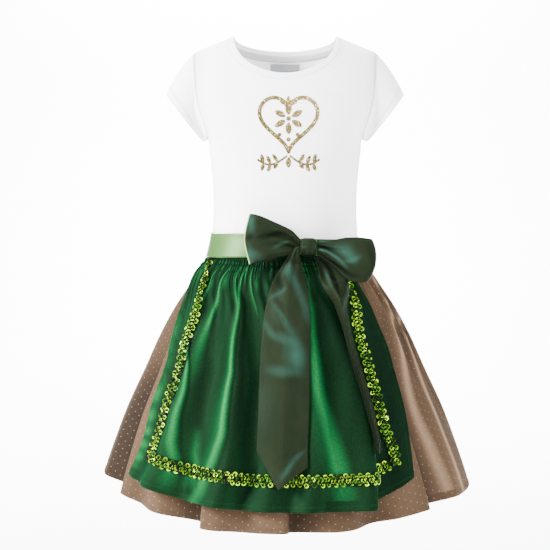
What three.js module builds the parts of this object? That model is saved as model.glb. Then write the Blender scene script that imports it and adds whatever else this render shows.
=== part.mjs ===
// A child's dirndl dress, worn shape with no wearer: a white jersey bodice with cap sleeves, a gathered
// cotton skirt, a half apron of velvet with a shirred top and a sequin trim, and a satin sash tied in a bow.
// Millimetres, +Z up, the dress faces -Y and +X is the wearer's left. The origin is midway between the two
// neck points, on top of the shoulder seams, where the wearer carries the dress.
// Heights are given as a drop, the distance below the origin. Angles run round the body from +X, seen from
// above, so that the back is at 90 degrees and the front at 270. Every surface is S(u, v), with u running
// round that way and v running down, and its outside is on the side that S_v x S_u points to.
import * as THREE from "three";

const SEAM = 0.3; // between neighbouring pieces
const JERSEY = 1.2;
const RIB = 1.8;
const COTTON = 1.4;
const VELVET = 1.6;
const SATIN = 1.0;
const TRIM = 1.0;
const LABEL = 1.0;

const NECK_HALF = 75.5; // half the width of the neck opening
const NECK_FRONT_DROP = 55;
const NECK_BACK_DROP = 21;
const BINDING_WIDTH = 8;
const SHOULDER_SLOPE = 0.41;
const ARMPIT_DROP = 152;
const WAIST_DROP = 312; // the seam of bodice and skirt, under the sash
const FRONT = -1;
const BACK = 1;

// The bodice below the armpits: half its width, how far its front and back stand off the side seams, and how
// square its section is (2 for an ellipse, more for a fuller corner).
const TORSO = [
  { drop: 152, half: 114, front: 76, back: 66, square: 2.4 },
  { drop: 190, half: 110, front: 78.5, back: 63, square: 2.2 },
  { drop: 225, half: 107, front: 80.5, back: 60, square: 2.1 },
  { drop: 262, half: 106.5, front: 80, back: 58.5, square: 2 },
  { drop: 294, half: 108, front: 79, back: 59, square: 2 },
  { drop: 312, half: 107, front: 77, back: 58.5, square: 2 },
];
// The bodice above the armpits: where a panel ends at the armhole, and the half width of the section that
// its depth follows.
const ARMHOLE = [
  { drop: 0, edge: 135, full: 150, square: 2 },
  { drop: 24, edge: 134, full: 150, square: 2 },
  { drop: 55, edge: 132.5, full: 151, square: 2 },
  { drop: 88, edge: 130, full: 149, square: 2 },
  { drop: 118, edge: 123, full: 139, square: 2.05 },
  { drop: 138, edge: 117, full: 126, square: 2.2 },
  { drop: 152, edge: 114, full: 114, square: 2.4 },
];
// The cuff of the wearer's left sleeve, an ellipse seen as a slanting line from the front.
const CUFF = {
  outer: { x: 176, drop: 86 },
  inner: { x: 122, drop: 155 },
  halfDepth: 37,
  back: 3, // how far its middle stands behind the shoulder seam
  swell: 3.5, // how far the cap bulges over a straight line
};

// The skirt's base: half its width, its depth in front and behind, and how square its section is.
const SKIRT = [
  { drop: 312, half: 109.5, front: 79.5, back: 61, square: 2 },
  { drop: 330, half: 114.5, front: 82, back: 65, square: 2 },
  { drop: 350, half: 130.5, front: 93, back: 76, square: 1.98 },
  { drop: 376, half: 148, front: 104, back: 88, square: 1.95 },
  { drop: 400, half: 164, front: 113, back: 98, square: 1.92 },
  { drop: 440, half: 186, front: 126, back: 112, square: 1.88 },
  { drop: 497, half: 212, front: 142, back: 130, square: 1.84 },
  { drop: 553, half: 238, front: 156, back: 148, square: 1.8 },
  { drop: 600, half: 256, front: 167, back: 162, square: 1.78 },
  { drop: 652, half: 274, front: 177, back: 176, square: 1.76 },
  { drop: 710, half: 291, front: 187, back: 190, square: 1.75 },
];
const SKIRT_HEM = [
  { angle: 0, drop: 671 },
  { angle: 45, drop: 678 },
  { angle: 90, drop: 684 },
  { angle: 135, drop: 672 },
  { angle: 180, drop: 652 },
  { angle: 196, drop: 656 },
  { angle: 212, drop: 672 },
  { angle: 232, drop: 690 },
  { angle: 250, drop: 703 },
  { angle: 285, drop: 703 },
  { angle: 300, drop: 694 },
  { angle: 318, drop: 686 },
  { angle: 340, drop: 676 },
  { angle: 360, drop: 671 },
];
// The skirt's folds are troughs pressed into the base. angle: where, at the waist; drift: degrees further on
// at the hem; half: half its width in degrees; deep: at the hem; tuck: how far its bottom slides round, under
// the cloth beside it; from and to: the share of the length where it starts and where it has died away.
const SKIRT_FOLDS = [
  { angle: 14, drift: 0, half: 9, deep: 30, tuck: 8, from: 0.08, to: 9 },
  { angle: 37, drift: 2, half: 11, deep: 40, tuck: -10, from: 0.0, to: 9 },
  { angle: 62, drift: 0, half: 9, deep: 28, tuck: 6, from: 0.25, to: 9 },
  { angle: 86, drift: 3, half: 12, deep: 42, tuck: 12, from: 0.02, to: 9 },
  { angle: 112, drift: -2, half: 9, deep: 30, tuck: -6, from: 0.18, to: 9 },
  { angle: 134, drift: 1, half: 11, deep: 38, tuck: -12, from: 0.0, to: 9 },
  { angle: 158, drift: 2, half: 9, deep: 30, tuck: 7, from: 0.12, to: 9 },
  { angle: 197, drift: 3, half: 10, deep: 40, tuck: 24, from: 0.14, to: 9 },
  { angle: 219, drift: 0, half: 8, deep: 12, tuck: 0, from: 0.45, to: 9 },
  { angle: 236, drift: 1, half: 9, deep: 34, tuck: 22, from: 0.3, to: 9 },
  { angle: 256, drift: 0, half: 8, deep: 10, tuck: 0, from: 0.5, to: 9 },
  { angle: 277, drift: 0, half: 8, deep: 32, tuck: -20, from: 0.35, to: 9 },
  { angle: 296, drift: 1, half: 8, deep: 20, tuck: 0, from: 0.3, to: 9 },
  { angle: 322, drift: 5, half: 10, deep: 38, tuck: -20, from: 0.1, to: 9 },
  { angle: 336, drift: -1, half: 4.5, deep: 8, tuck: 0, from: -0.1, to: 0.75 },
  { angle: 347, drift: 3, half: 5.5, deep: 15, tuck: 5, from: -0.15, to: 0.8 },
];
const SKIRT_GATHERS = 48; // small waves round the waist, which die away below it
const GATHER_DEPTH = 2.6;

// The apron lies on the skirt's base. Its sides are given by their angle, and its hem by its drop.
const APRON_TOP = 316;
const APRON_SIDES = [
  { share: 0, right: 183, left: 318 },
  { share: 0.1, right: 186, left: 319 },
  { share: 0.15, right: 190.5, left: 319.3 },
  { share: 0.23, right: 200, left: 320 },
  { share: 0.32, right: 205.5, left: 319.5 },
  { share: 0.42, right: 209.5, left: 320 },
  { share: 0.5, right: 212.3, left: 319.3 },
  { share: 0.64, right: 213, left: 318 },
  { share: 0.84, right: 215.3, left: 315.2 },
  { share: 1, right: 213, left: 313 },
];
const APRON_HEM = [
  { across: 0, drop: 640 },
  { across: 0.12, drop: 650 },
  { across: 0.3, drop: 666 },
  { across: 0.5, drop: 672 },
  { across: 0.76, drop: 673 },
  { across: 0.86, drop: 660 },
  { across: 1, drop: 637 },
];
// The apron's folds are ridges that stand off the skirt. across: their place, from the wearer's right to the
// left; drift: further on at the hem; half: half their width; out: their height at the hem; roll: how far
// their crest slides over sideways; from: the share of the length where they start.
const APRON_FOLDS = [
  { across: 0.045, drift: 0, half: 0.06, out: 6, roll: 0, from: 0.2 },
  { across: 0.18, drift: -0.03, half: 0.1, out: 20, roll: -7, from: -0.05 },
  { across: 0.36, drift: -0.01, half: 0.09, out: 27, roll: 13, from: -0.1 },
  { across: 0.52, drift: 0.0, half: 0.08, out: 14, roll: 0, from: 0.0 },
  { across: 0.645, drift: 0.0, half: 0.085, out: 21, roll: -4, from: -0.05 },
  { across: 0.765, drift: -0.01, half: 0.08, out: 36, roll: 26, from: 0.12 },
  { across: 0.95, drift: 0, half: 0.07, out: 4, roll: 0, from: 0.3 },
];
const APRON_GATHERS = 48;
const SHIRRING = 34; // the height of the shirred band
const TRIM_WIDTH = 17;
const TRIM_ABOVE_HEM = 34;
// The middle of each side trim, as a share of the apron's width from its side edge.
const TRIM_SIDES = [
  { share: 0, right: 0.1, left: 0.05 },
  { share: 0.045, right: 0.13, left: 0.055 },
  { share: 0.09, right: 0.18, left: 0.06 },
  { share: 0.13, right: 0.2, left: 0.07 },
  { share: 0.21, right: 0.187, left: 0.09 },
  { share: 0.3, right: 0.17, left: 0.122 },
  { share: 0.38, right: 0.142, left: 0.135 },
  { share: 0.47, right: 0.124, left: 0.134 },
  { share: 0.56, right: 0.113, left: 0.126 },
  { share: 0.65, right: 0.112, left: 0.12 },
  { share: 0.73, right: 0.111, left: 0.112 },
  { share: 0.8, right: 0.1, left: 0.094 },
  { share: 0.86, right: 0.093, left: 0.083 },
  { share: 1, right: 0.095, left: 0.08 },
];

// The sash lies round the waist, over the tops of skirt and apron.
const SASH = [
  { drop: 291, half: 110.9, front: 82.2, back: 62.3 },
  { drop: 308, half: 113.9, front: 84.4, back: 65.4 },
  { drop: 326, half: 118.6, front: 87.4, back: 69.8 },
];
const SASH_RISE = 6; // how much higher it lies in the middle of the front
const KNOT = { x: 33, drop: 305, width: 25, height: 26, depth: 22 };

const TAU = 2 * Math.PI;
const vector = (x, y, z) => new THREE.Vector3(x, y, z);
const mix = THREE.MathUtils.lerp;
const radians = THREE.MathUtils.degToRad;
const clamp = THREE.MathUtils.clamp;
const smoothStep = (x, low, high) => THREE.MathUtils.smoothstep(x, low, high);
// The depth of a section at a share of its half width: an ellipse when square is 2.
const bulge = (across, square) =>
  Math.max(0, 1 - Math.abs(across) ** square) ** (1 / square);
const steps = (count, from = 0, to = 1) =>
  Array.from({ length: count + 1 }, (_, i) => mix(from, to, i / count));

// A smooth curve through one column of a table, by another, with no overshoot between its rows.
function curve(table, by, column) {
  const xs = table.map((row) => row[by]);
  const ys = table.map((row) => row[column]);
  const slopes = xs.slice(1).map((x, i) => (ys[i + 1] - ys[i]) / (x - xs[i]));
  const last = slopes.length - 1;
  const tangents = ys.map((_, i) => {
    if (i === 0) return slopes[0];
    if (i > last) return slopes[last];
    const [a, b] = [slopes[i - 1], slopes[i]];
    return a * b > 0 ? (2 * a * b) / (a + b) : 0;
  });
  return (x) => {
    let i = 0;
    while (i < last && x > xs[i + 1]) i++;
    const step = xs[i + 1] - xs[i];
    const t = clamp((x - xs[i]) / step, 0, 1);
    const past = x - xs[i] - t * step;
    return (
      ys[i] * (1 + 2 * t) * (1 - t) ** 2 +
      tangents[i] * step * t * (1 - t) ** 2 +
      ys[i + 1] * t * t * (3 - 2 * t) +
      tangents[i + 1] * step * t * t * (t - 1) +
      past * (t > 0.5 ? tangents[i + 1] : tangents[i])
    );
  };
}

// The outward normal of a surface S(u, v).
function normalOf(surface, u, v) {
  const small = 1e-3;
  const across = surface(u + small, v).sub(surface(u - small, v));
  const down = surface(u, v + small).sub(surface(u, v - small));
  return down.cross(across).normalize();
}

// One point of a wall: its outer and inner side, and the surface's normal there.
function pair(surface, u, v, thickness, raised = 0) {
  const normal = normalOf(surface, u, v);
  const at = surface(u, v);
  return {
    outer: at.clone().addScaledVector(normal, raised),
    inner: at.clone().addScaledVector(normal, -thickness),
    normal,
  };
}

const moved = (point, by) => ({
  outer: point.outer.clone().add(by),
  inner: point.inner.clone().add(by),
  normal: point.normal,
});

// Triangles between two rows of points that may differ in number.
function strip(a, b, triangle) {
  let i = 0;
  let j = 0;
  while (i < a.length - 1 || j < b.length - 1) {
    const nextA = (i + 1) / (a.length - 1);
    const nextB = (j + 1) / (b.length - 1);
    if (j === b.length - 1 || (i < a.length - 1 && nextA <= nextB + 1e-9)) {
      triangle(a[i], a[i + 1], b[j]);
      i++;
    } else {
      triangle(a[i], b[j + 1], b[j]);
      j++;
    }
  }
}

// A closed wall from rows of pairs. Each row of a round wall closes on itself.
function wall(rows, round = false) {
  const points = [];
  const faces = [];
  const numbered = rows.map((row) => {
    const ids = row.map((p) => points.push(p.outer, p.inner) - 2);
    return round ? [...ids, ids[0]] : ids;
  });
  const quad = (a, b, c, d) => faces.push([a, b, c], [a, c, d]);
  numbered.slice(1).forEach((lower, i) => {
    strip(numbered[i], lower, (a, b, c) =>
      faces.push([a, b, c], [a + 1, c + 1, b + 1]),
    );
    if (round) return;
    const upper = numbered[i];
    quad(upper[0], lower[0], lower[0] + 1, upper[0] + 1);
    quad(lower.at(-1), upper.at(-1), upper.at(-1) + 1, lower.at(-1) + 1);
  });
  const [top, bottom] = [numbered[0], numbered.at(-1)];
  top.slice(1).forEach((b, i) => quad(b, top[i], top[i] + 1, b + 1));
  bottom.slice(1).forEach((b, i) => quad(bottom[i], b, b + 1, bottom[i] + 1));
  return geometryOf(points, faces);
}

// A geometry from points and faces, turned so that its faces point outwards.
function geometryOf(points, faces) {
  const volume = faces.reduce(
    (sum, [a, b, c]) =>
      sum + points[a].dot(points[b].clone().cross(points[c])),
    0,
  );
  const turned = volume < 0 ? faces.map(([a, b, c]) => [a, c, b]) : faces;
  const geometry = new THREE.BufferGeometry();
  geometry.setFromPoints(points);
  geometry.setIndex(turned.flat());
  return geometry;
}

// ---- Bodice ----

const torsoHalf = curve(TORSO, "drop", "half");
const torsoSquare = curve(TORSO, "drop", "square");
const torsoDepth = {
  [FRONT]: curve(TORSO, "drop", "front"),
  [BACK]: curve(TORSO, "drop", "back"),
};
const armholeEdge = curve(ARMHOLE, "drop", "edge");
const armholeFull = curve(ARMHOLE, "drop", "full");
const armholeSquare = curve(ARMHOLE, "drop", "square");
const neckDrop = { [FRONT]: NECK_FRONT_DROP, [BACK]: NECK_BACK_DROP };

// How far below the origin the shoulder line runs at a distance from the middle. Inside the neck it goes on
// as the top of the form that the neckline is cut from.
function shoulderDrop(x) {
  const from = Math.abs(x) / NECK_HALF;
  const rise = (SHOULDER_SLOPE * NECK_HALF) / 2;
  return from > 1
    ? SHOULDER_SLOPE * NECK_HALF * (from - 1)
    : rise * (from * from - 1);
}

// A panel's part of the section at a drop, as the angle where it starts.
const panelStart = (drop) =>
  Math.acos(clamp(armholeEdge(drop) / armholeFull(drop), -1, 1));

// The neckline at an angle round the opening, a distance outside the finished edge.
function neckline(angle, outside) {
  const face = Math.sin(angle) < -1e-9 ? FRONT : BACK;
  const half = NECK_HALF + outside;
  const x = half * Math.cos(angle);
  const side = shoulderDrop(half);
  const deep = neckDrop[face] + outside - side;
  return { x, drop: side + deep * Math.abs(Math.sin(angle)), face };
}

// The top edge of a bodice panel, from shoulder tip to shoulder tip: shoulder, neckline, shoulder.
const SHOULDER_SHARE = 0.2;
function topEdge(face, u) {
  const tip = armholeEdge(shoulderDrop(134));
  const neck = NECK_HALF + BINDING_WIDTH;
  const onShoulder = (share) => {
    const x = mix(tip, neck, share);
    return { x, drop: shoulderDrop(x) };
  };
  if (u < SHOULDER_SHARE) {
    const at = onShoulder(u / SHOULDER_SHARE);
    return { x: face * at.x, drop: at.drop };
  }
  if (u > 1 - SHOULDER_SHARE) {
    const at = onShoulder((1 - u) / SHOULDER_SHARE);
    return { x: -face * at.x, drop: at.drop };
  }
  const along = (u - SHOULDER_SHARE) / (1 - 2 * SHOULDER_SHARE);
  const start = face === BACK ? 0 : Math.PI;
  return neckline(start + Math.PI * clamp(along, 1e-6, 1 - 1e-6), BINDING_WIDTH);
}

// A bodice panel: v from 0 at its top edge to 1 at the armpits and 2 at the waist.
function bodice(face) {
  const height = (x) => ARMPIT_DROP - shoulderDrop(x);
  return (u, v) => {
    const top = topEdge(face, u);
    const start = panelStart(top.drop);
    const turn = Math.acos(clamp((face * top.x) / armholeFull(top.drop), -1, 1));
    const share = (turn - start) / (Math.PI - 2 * start);
    if (v > 1) {
      const drop = mix(ARMPIT_DROP, WAIST_DROP - SEAM / 2, v - 1);
      const angle = Math.PI * u;
      const deep = bulge(Math.cos(angle), torsoSquare(drop));
      return vector(
        face * torsoHalf(drop) * Math.cos(angle),
        face * torsoDepth[face](drop) * deep * Math.sign(Math.sin(angle)),
        -drop,
      );
    }
    const reach = (ARMPIT_DROP - top.drop) / height(top.x);
    const rise = (1 - v) * Math.asin(clamp(reach, -1, 1));
    let x = top.x;
    let drop = top.drop;
    let angle = turn;
    for (let round = 0; round < 12; round++) {
      drop = ARMPIT_DROP - height(x) * Math.sin(rise);
      const begin = panelStart(drop);
      angle = begin + (Math.PI - 2 * begin) * mix(share, u, v);
      x = face * armholeFull(drop) * Math.cos(angle);
    }
    const depth = torsoDepth[face](ARMPIT_DROP) * Math.cos(rise);
    const deep = bulge(Math.cos(angle), armholeSquare(drop));
    return vector(x, face * depth * deep * Math.sign(Math.sin(angle)), -drop);
  };
}

const SHOULDER_COLUMNS = 3;
const NECK_COLUMNS = 12;
const BODICE_COLUMNS = [
  ...steps(SHOULDER_COLUMNS, 0, SHOULDER_SHARE),
  ...steps(NECK_COLUMNS, SHOULDER_SHARE, 1 - SHOULDER_SHARE).slice(1),
  ...steps(SHOULDER_COLUMNS, 1 - SHOULDER_SHARE, 1).slice(1),
];
const ARMHOLE_ROWS = [0, 0.16, 0.32, 0.48, 0.62, 0.75, 0.86, 0.94, 1];
const BODICE_ROWS = [...ARMHOLE_ROWS, ...steps(6, 1, 2).slice(1)];
const bodiceOf = { [FRONT]: bodice(FRONT), [BACK]: bodice(BACK) };
const bodicePair = (face, u, v) => pair(bodiceOf[face], u, v, JERSEY);

function bodicePanel(face) {
  const apart = vector(0, (face * SEAM) / 2, 0);
  return wall(
    BODICE_ROWS.map((v) =>
      BODICE_COLUMNS.map((u) => moved(bodicePair(face, u, v), apart)),
    ),
  );
}

// The armhole's edge on the wearer's left, at a share of the way round from the armpit, over the front, the
// shoulder tip and the back. Its pair is moved off the panels, along their surface.
function armholePair(share) {
  const front = share <= 0.5;
  const v = front ? 1 - 2 * share : 2 * share - 1;
  const face = front ? FRONT : BACK;
  const u = front ? 1 : 0;
  const at = bodicePair(face, u, v);
  const ahead = bodiceOf[face](u, Math.min(v + 0.02, 1));
  const behind = bodiceOf[face](u, Math.max(v - 0.02, 0));
  const away = ahead.sub(behind).cross(at.normal).normalize();
  const centre = vector(134, 0, -88);
  if (away.dot(centre.sub(at.outer)) < 0) away.negate();
  return moved(at, away.multiplyScalar(SEAM * 2));
}

// The cap sleeve of the wearer's left: u round from the armpit over the front, v from armhole to cuff.
function sleeveSurface(u, v) {
  const share = u - Math.floor(u);
  const start = armholePair(share).outer;
  const angle = TAU * share;
  const inward = (1 + Math.cos(angle)) / 2;
  const end = vector(
    mix(CUFF.outer.x, CUFF.inner.x, inward),
    CUFF.back - CUFF.halfDepth * Math.sin(angle),
    -mix(CUFF.outer.drop, CUFF.inner.drop, inward),
  );
  const swell = CUFF.swell * Math.sin(Math.PI * v) * (1 - inward);
  return start.lerp(end, v).add(vector(swell * 0.8, 0, swell * 0.6));
}

function sleeve() {
  const up = ARMHOLE_ROWS.map((v) => (1 - v) / 2).reverse();
  const columns = [...up, ...up.map((share) => 1 - share).reverse().slice(1, -1)];
  return wall(
    steps(5).map((v) =>
      columns.map((u) =>
        v === 0 ? armholePair(u) : pair(sleeveSurface, u, v, JERSEY),
      ),
    ),
    true,
  );
}

// The same sleeve for the wearer's right, with its faces turned back the right way.
function mirrored(geometry) {
  const copy = geometry.clone().scale(-1, 1, 1);
  const index = copy.index.array;
  for (let i = 0; i < index.length; i += 3)
    [index[i + 1], index[i + 2]] = [index[i + 2], index[i + 1]];
  return copy;
}

// A point of the bodice's form above the armpits, by its distance from the middle and its drop.
function formPoint({ x, drop, face }) {
  const across = bulge(x / armholeFull(drop), armholeSquare(drop));
  const up = (ARMPIT_DROP - drop) / (ARMPIT_DROP - shoulderDrop(x));
  const over = Math.sqrt(Math.max(0, 1 - up * up));
  return vector(x, face * torsoDepth[face](ARMPIT_DROP) * across * over, -drop);
}

// The rib binding of the neck: u round the opening, v from its finished edge down to its seam.
function bindingSurface(u, v) {
  const angle = TAU * u;
  return formPoint(neckline(angle, 0)).lerp(
    formPoint(neckline(angle, BINDING_WIDTH)),
    v,
  );
}

function binding() {
  const columns = steps(2 * NECK_COLUMNS).slice(0, -1);
  const rows = [0, 0.45, 0.9].map((v) =>
    columns.map((u) => pair(bindingSurface, u, v, RIB - 0.5, 0.5 - 0.4 * (v === 0))),
  );
  const seam = columns.map((u) => {
    const face = u > 0.5 ? FRONT : BACK;
    const along = (face === BACK ? u : u - 0.5) * 2;
    const at = bodicePair(face, mix(SHOULDER_SHARE, 1 - SHOULDER_SHARE, along), 0);
    const up = bindingSurface(u, 0).sub(at.outer).setLength(SEAM * 1.7);
    return moved(at, up);
  });
  return wall([...rows, seam], true);
}

// A woven label on the inside of the back panel, under the neck seam.
function label() {
  const half = 22;
  const [top, bottom] = [38, 62];
  return wall(
    steps(3, top, bottom).map((drop) =>
      steps(6, half, -half).map((x) => {
        const surface = (u, v) => formPoint({ x: -u, drop: v, face: BACK });
        const normal = normalOf(surface, -x, drop);
        const at = surface(-x, drop);
        const outer = at.clone().addScaledVector(normal, -(JERSEY + 2 * SEAM));
        return {
          outer,
          inner: outer.clone().addScaledVector(normal, -LABEL),
          normal,
        };
      }),
    ),
  );
}

// ---- Skirt ----

const skirtHalf = curve(SKIRT, "drop", "half");
const skirtFront = curve(SKIRT, "drop", "front");
const skirtBack = curve(SKIRT, "drop", "back");
const skirtSquare = curve(SKIRT, "drop", "square");
const skirtHem = curve(SKIRT_HEM, "angle", "drop");
const wrapped = (angle) => angle - 360 * Math.floor(angle / 360);

// The base that the skirt's folds are pressed into and the apron lies on.
function skirtBase(angle, drop) {
  const turn = radians(angle);
  const across = Math.cos(turn);
  const deep = bulge(across, skirtSquare(drop)) * Math.sign(Math.sin(turn));
  const depth = deep < 0 ? skirtFront(drop) : skirtBack(drop);
  return vector(skirtHalf(drop) * across, depth * deep, -drop);
}

// The base's outward normal and the direction that runs round it.
function baseAxes(angle, drop) {
  const around = skirtBase(angle + 0.2, drop).sub(skirtBase(angle - 0.2, drop));
  const down = skirtBase(angle, drop + 0.5).sub(skirtBase(angle, drop - 0.5));
  return { out: down.cross(around).normalize(), around: around.normalize() };
}

const bump = (x) => (Math.abs(x) < 1 ? Math.cos((Math.PI / 2) * x) ** 2 : 0);

function skirtSurface(angle, v) {
  const at = wrapped(angle);
  const drop = mix(WAIST_DROP + SEAM / 2, skirtHem(at), v);
  const { out, around } = baseAxes(at, drop);
  let inward = 0;
  let sideways = 0;
  for (const fold of SKIRT_FOLDS) {
    const middle = fold.angle + fold.drift * v;
    const away = wrapped(at - middle + 180) - 180;
    const grown =
      clamp((v - fold.from) / (1 - fold.from), 0, 1) ** 0.8 *
      (1 - smoothStep(v, fold.to - 0.4, fold.to));
    const share = bump(away / fold.half) * grown;
    inward += fold.deep * share;
    sideways += fold.tuck * share;
  }
  const gathered =
    GATHER_DEPTH * smoothStep(v, -0.02, 0.1) * (1 - smoothStep(v, 0.1, 0.3));
  inward += gathered * (0.5 - 0.5 * Math.cos(radians(at) * SKIRT_GATHERS));
  return skirtBase(at, drop)
    .addScaledVector(out, -inward)
    .addScaledVector(around, sideways);
}

const SKIRT_ROWS = [0, 0.05, 0.1, 0.17, 0.26, 0.37, 0.49, 0.61, 0.74, 0.87, 1];
const SKIRT_COLUMNS = 48; // in each of its two panels

function skirtPanel(from) {
  const side = from === 0 ? BACK : FRONT;
  const apart = vector(0, side * SEAM * 0.6, 0);
  return wall(
    SKIRT_ROWS.map((v) =>
      steps(SKIRT_COLUMNS, from, from + 180).map((angle) =>
        moved(pair(skirtSurface, angle, v, COTTON), apart),
      ),
    ),
  );
}

// ---- Apron ----

const apronRight = curve(APRON_SIDES, "share", "right");
const apronLeft = curve(APRON_SIDES, "share", "left");
const apronHem = curve(APRON_HEM, "across", "drop");

function apronSurface(u, v) {
  const drop = mix(APRON_TOP, apronHem(u), v);
  const angle = mix(apronRight(v), apronLeft(v), u);
  const { out, around } = baseAxes(angle, drop);
  const clearance = mix(0.7, 2.4, smoothStep(v, 0.035, 0.085));
  let outward = VELVET + clearance;
  let sideways = 0;
  for (const fold of APRON_FOLDS) {
    const middle = fold.across + fold.drift * v;
    const grown = clamp((v - fold.from) / (1 - fold.from), 0, 1) ** 0.9;
    const shirred = smoothStep(v, 0.08, 0.22);
    const share = bump((u - middle) / fold.half) * grown * shirred;
    outward += fold.out * share;
    sideways += fold.roll * share;
  }
  return skirtBase(angle, drop)
    .addScaledVector(out, outward)
    .addScaledVector(around, sideways);
}

// The gathers of the shirred band, raised on the outside only.
function shirringHeight(u, v) {
  const below = v * (apronHem(u) - APRON_TOP);
  const height =
    2.4 * smoothStep(below, 7, 16) * (1 - smoothStep(below, SHIRRING, SHIRRING + 22));
  return height * (0.5 + 0.5 * Math.cos(TAU * u * APRON_GATHERS));
}

const APRON_COLUMNS = 48;
const TRIM_START = 3; // the column where a side trim starts, and the one where it ends
const TRIM_END = 6;

const trimMiddle = [
  curve(TRIM_SIDES, "share", "right"),
  curve(TRIM_SIDES, "share", "left"),
];

// The place across of a column: the columns beside the side trims keep the trims' width, which the gathers
// draw in at the top.
function apronColumn(column, v) {
  const onLeft = column * 2 > APRON_COLUMNS;
  const width = TRIM_WIDTH * mix(0.8, 1, smoothStep(v, 0.1, 0.35));
  const half = width / 2 / mix(270, 440, v);
  const middle = trimMiddle[onLeft ? 1 : 0](v);
  const [outer, inner] = [middle - half, middle + half];
  const fromSide = Math.min(column, APRON_COLUMNS - column);
  let share;
  if (fromSide < TRIM_START) share = (outer * fromSide) / TRIM_START;
  else if (fromSide < TRIM_END)
    share = mix(outer, inner, (fromSide - TRIM_START) / (TRIM_END - TRIM_START));
  else
    share = mix(inner, 0.5, (fromSide - TRIM_END) / (APRON_COLUMNS / 2 - TRIM_END));
  return onLeft ? 1 - share : share;
}

const TRIM_TOP_ROW = 1 - (TRIM_ABOVE_HEM + TRIM_WIDTH) / 352;
const TRIM_BOTTOM_ROW = 1 - TRIM_ABOVE_HEM / 352;
const APRON_ROWS = [
  ...[0, 0.02, 0.042, 0.062, 0.09, 0.125, 0.165, 0.24, 0.34, 0.45, 0.56, 0.67, 0.77],
  ...[TRIM_TOP_ROW, TRIM_BOTTOM_ROW, 1],
];
const SHIRRED_ROWS = 6; // the rows that have two columns for each gather
const TRIM_ROW = 2; // where the side trims start, under the sash

function apronGrid() {
  return APRON_ROWS.map((v, row) => {
    const finer = row < SHIRRED_ROWS ? 2 : 1;
    return steps(APRON_COLUMNS * finer, 0, APRON_COLUMNS).map((column, i) => {
      const u = apronColumn(column, v);
      const raised = i % 2 === 0 && finer === 2 ? 0 : shirringHeight(0, v);
      return pair(apronSurface, u, v, VELVET, finer === 2 ? raised : 0);
    });
  });
}

// A ribbon that lies on the apron, made from its outer points: from one column and row to others, and
// shorter at both ends by a seam's gap where other ribbons meet it.
function trimOn(grid, columns, rows, gap = 0) {
  const lying = grid.slice(rows[0], rows[1] + 1).map((row) => {
    const finer = (row.length - 1) / APRON_COLUMNS;
    const run = row.slice(columns[0] * finer, columns[1] * finer + 1);
    const outers = run.map((at) => at.outer.clone());
    outers[0].add(run[1].outer.clone().sub(run[0].outer).setLength(gap));
    outers.at(-1).add(run.at(-2).outer.clone().sub(run.at(-1).outer).setLength(gap));
    return run.map(({ normal }, i) => {
      const inner = outers[i].clone().addScaledVector(normal, SEAM * 1.7);
      const outer = inner.clone().addScaledVector(normal, TRIM);
      return { outer, inner, normal };
    });
  });
  return wall(lying);
}

// ---- Sash and bow ----

const sashHalf = curve(SASH, "drop", "half");
const sashFront = curve(SASH, "drop", "front");
const sashBack = curve(SASH, "drop", "back");

function sashSurface(angle, drop) {
  const turn = radians(angle);
  const depth = Math.sin(turn) < 0 ? sashFront(drop) : sashBack(drop);
  const rise = SASH_RISE * Math.max(0, -Math.sin(turn)) ** 2;
  return vector(sashHalf(drop) * Math.cos(turn), depth * Math.sin(turn), rise - drop);
}

function sash() {
  return wall(
    steps(2, SASH[0].drop, SASH.at(-1).drop).map((drop) =>
      steps(64, 0, 360)
        .slice(0, -1)
        .map((angle) => pair(sashSurface, angle, drop, SATIN)),
    ),
    true,
  );
}

const knotCentre = (() => {
  const behind = KNOT.drop + SASH_RISE; // the sash's own height behind it
  const side = KNOT.x / sashHalf(behind);
  const face = -sashFront(behind) * Math.sqrt(1 - side * side);
  return vector(KNOT.x, face - 1.8 - KNOT.depth / 2, -KNOT.drop);
})();

// The knot: a ribbon wrapped round the middle of the bow, fuller in the middle than at its ends.
function knot() {
  const across = 14;
  const points = [];
  const faces = [];
  const rows = [-1, -0.82, -0.4, 0, 0.4, 0.82, 1];
  rows.forEach((up) => {
    const full = Math.sqrt(1 - 0.45 * up * up) * (Math.abs(up) === 1 ? 0.86 : 1);
    steps(across)
      .slice(0, -1)
      .forEach((share) => {
        const angle = TAU * share;
        const squared = 0.7;
        const c = Math.sign(Math.cos(angle)) * Math.abs(Math.cos(angle)) ** squared;
        const s = Math.sign(Math.sin(angle)) * Math.abs(Math.sin(angle)) ** squared;
        points.push(
          knotCentre
            .clone()
            .add(
              vector(
                (KNOT.width / 2) * full * c,
                (KNOT.depth / 2) * full * s,
                (KNOT.height / 2) * up,
              ),
            ),
        );
      });
  });
  const ring = (row) =>
    Array.from({ length: across + 1 }, (_, i) => row * across + (i % across));
  rows.slice(1).forEach((_, i) =>
    strip(ring(i), ring(i + 1), (a, b, c) => faces.push([a, b, c])),
  );
  const middles = [0, rows.length - 1].map((row) => {
    points.push(knotCentre.clone().setZ(points[row * across].z));
    return points.length - 1;
  });
  const [low, high] = [ring(0), ring(rows.length - 1)];
  low.slice(1).forEach((b, i) => faces.push([b, low[i], middles[0]]));
  high.slice(1).forEach((b, i) => faces.push([high[i], b, middles[1]]));
  return geometryOf(points, faces);
}

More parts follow.
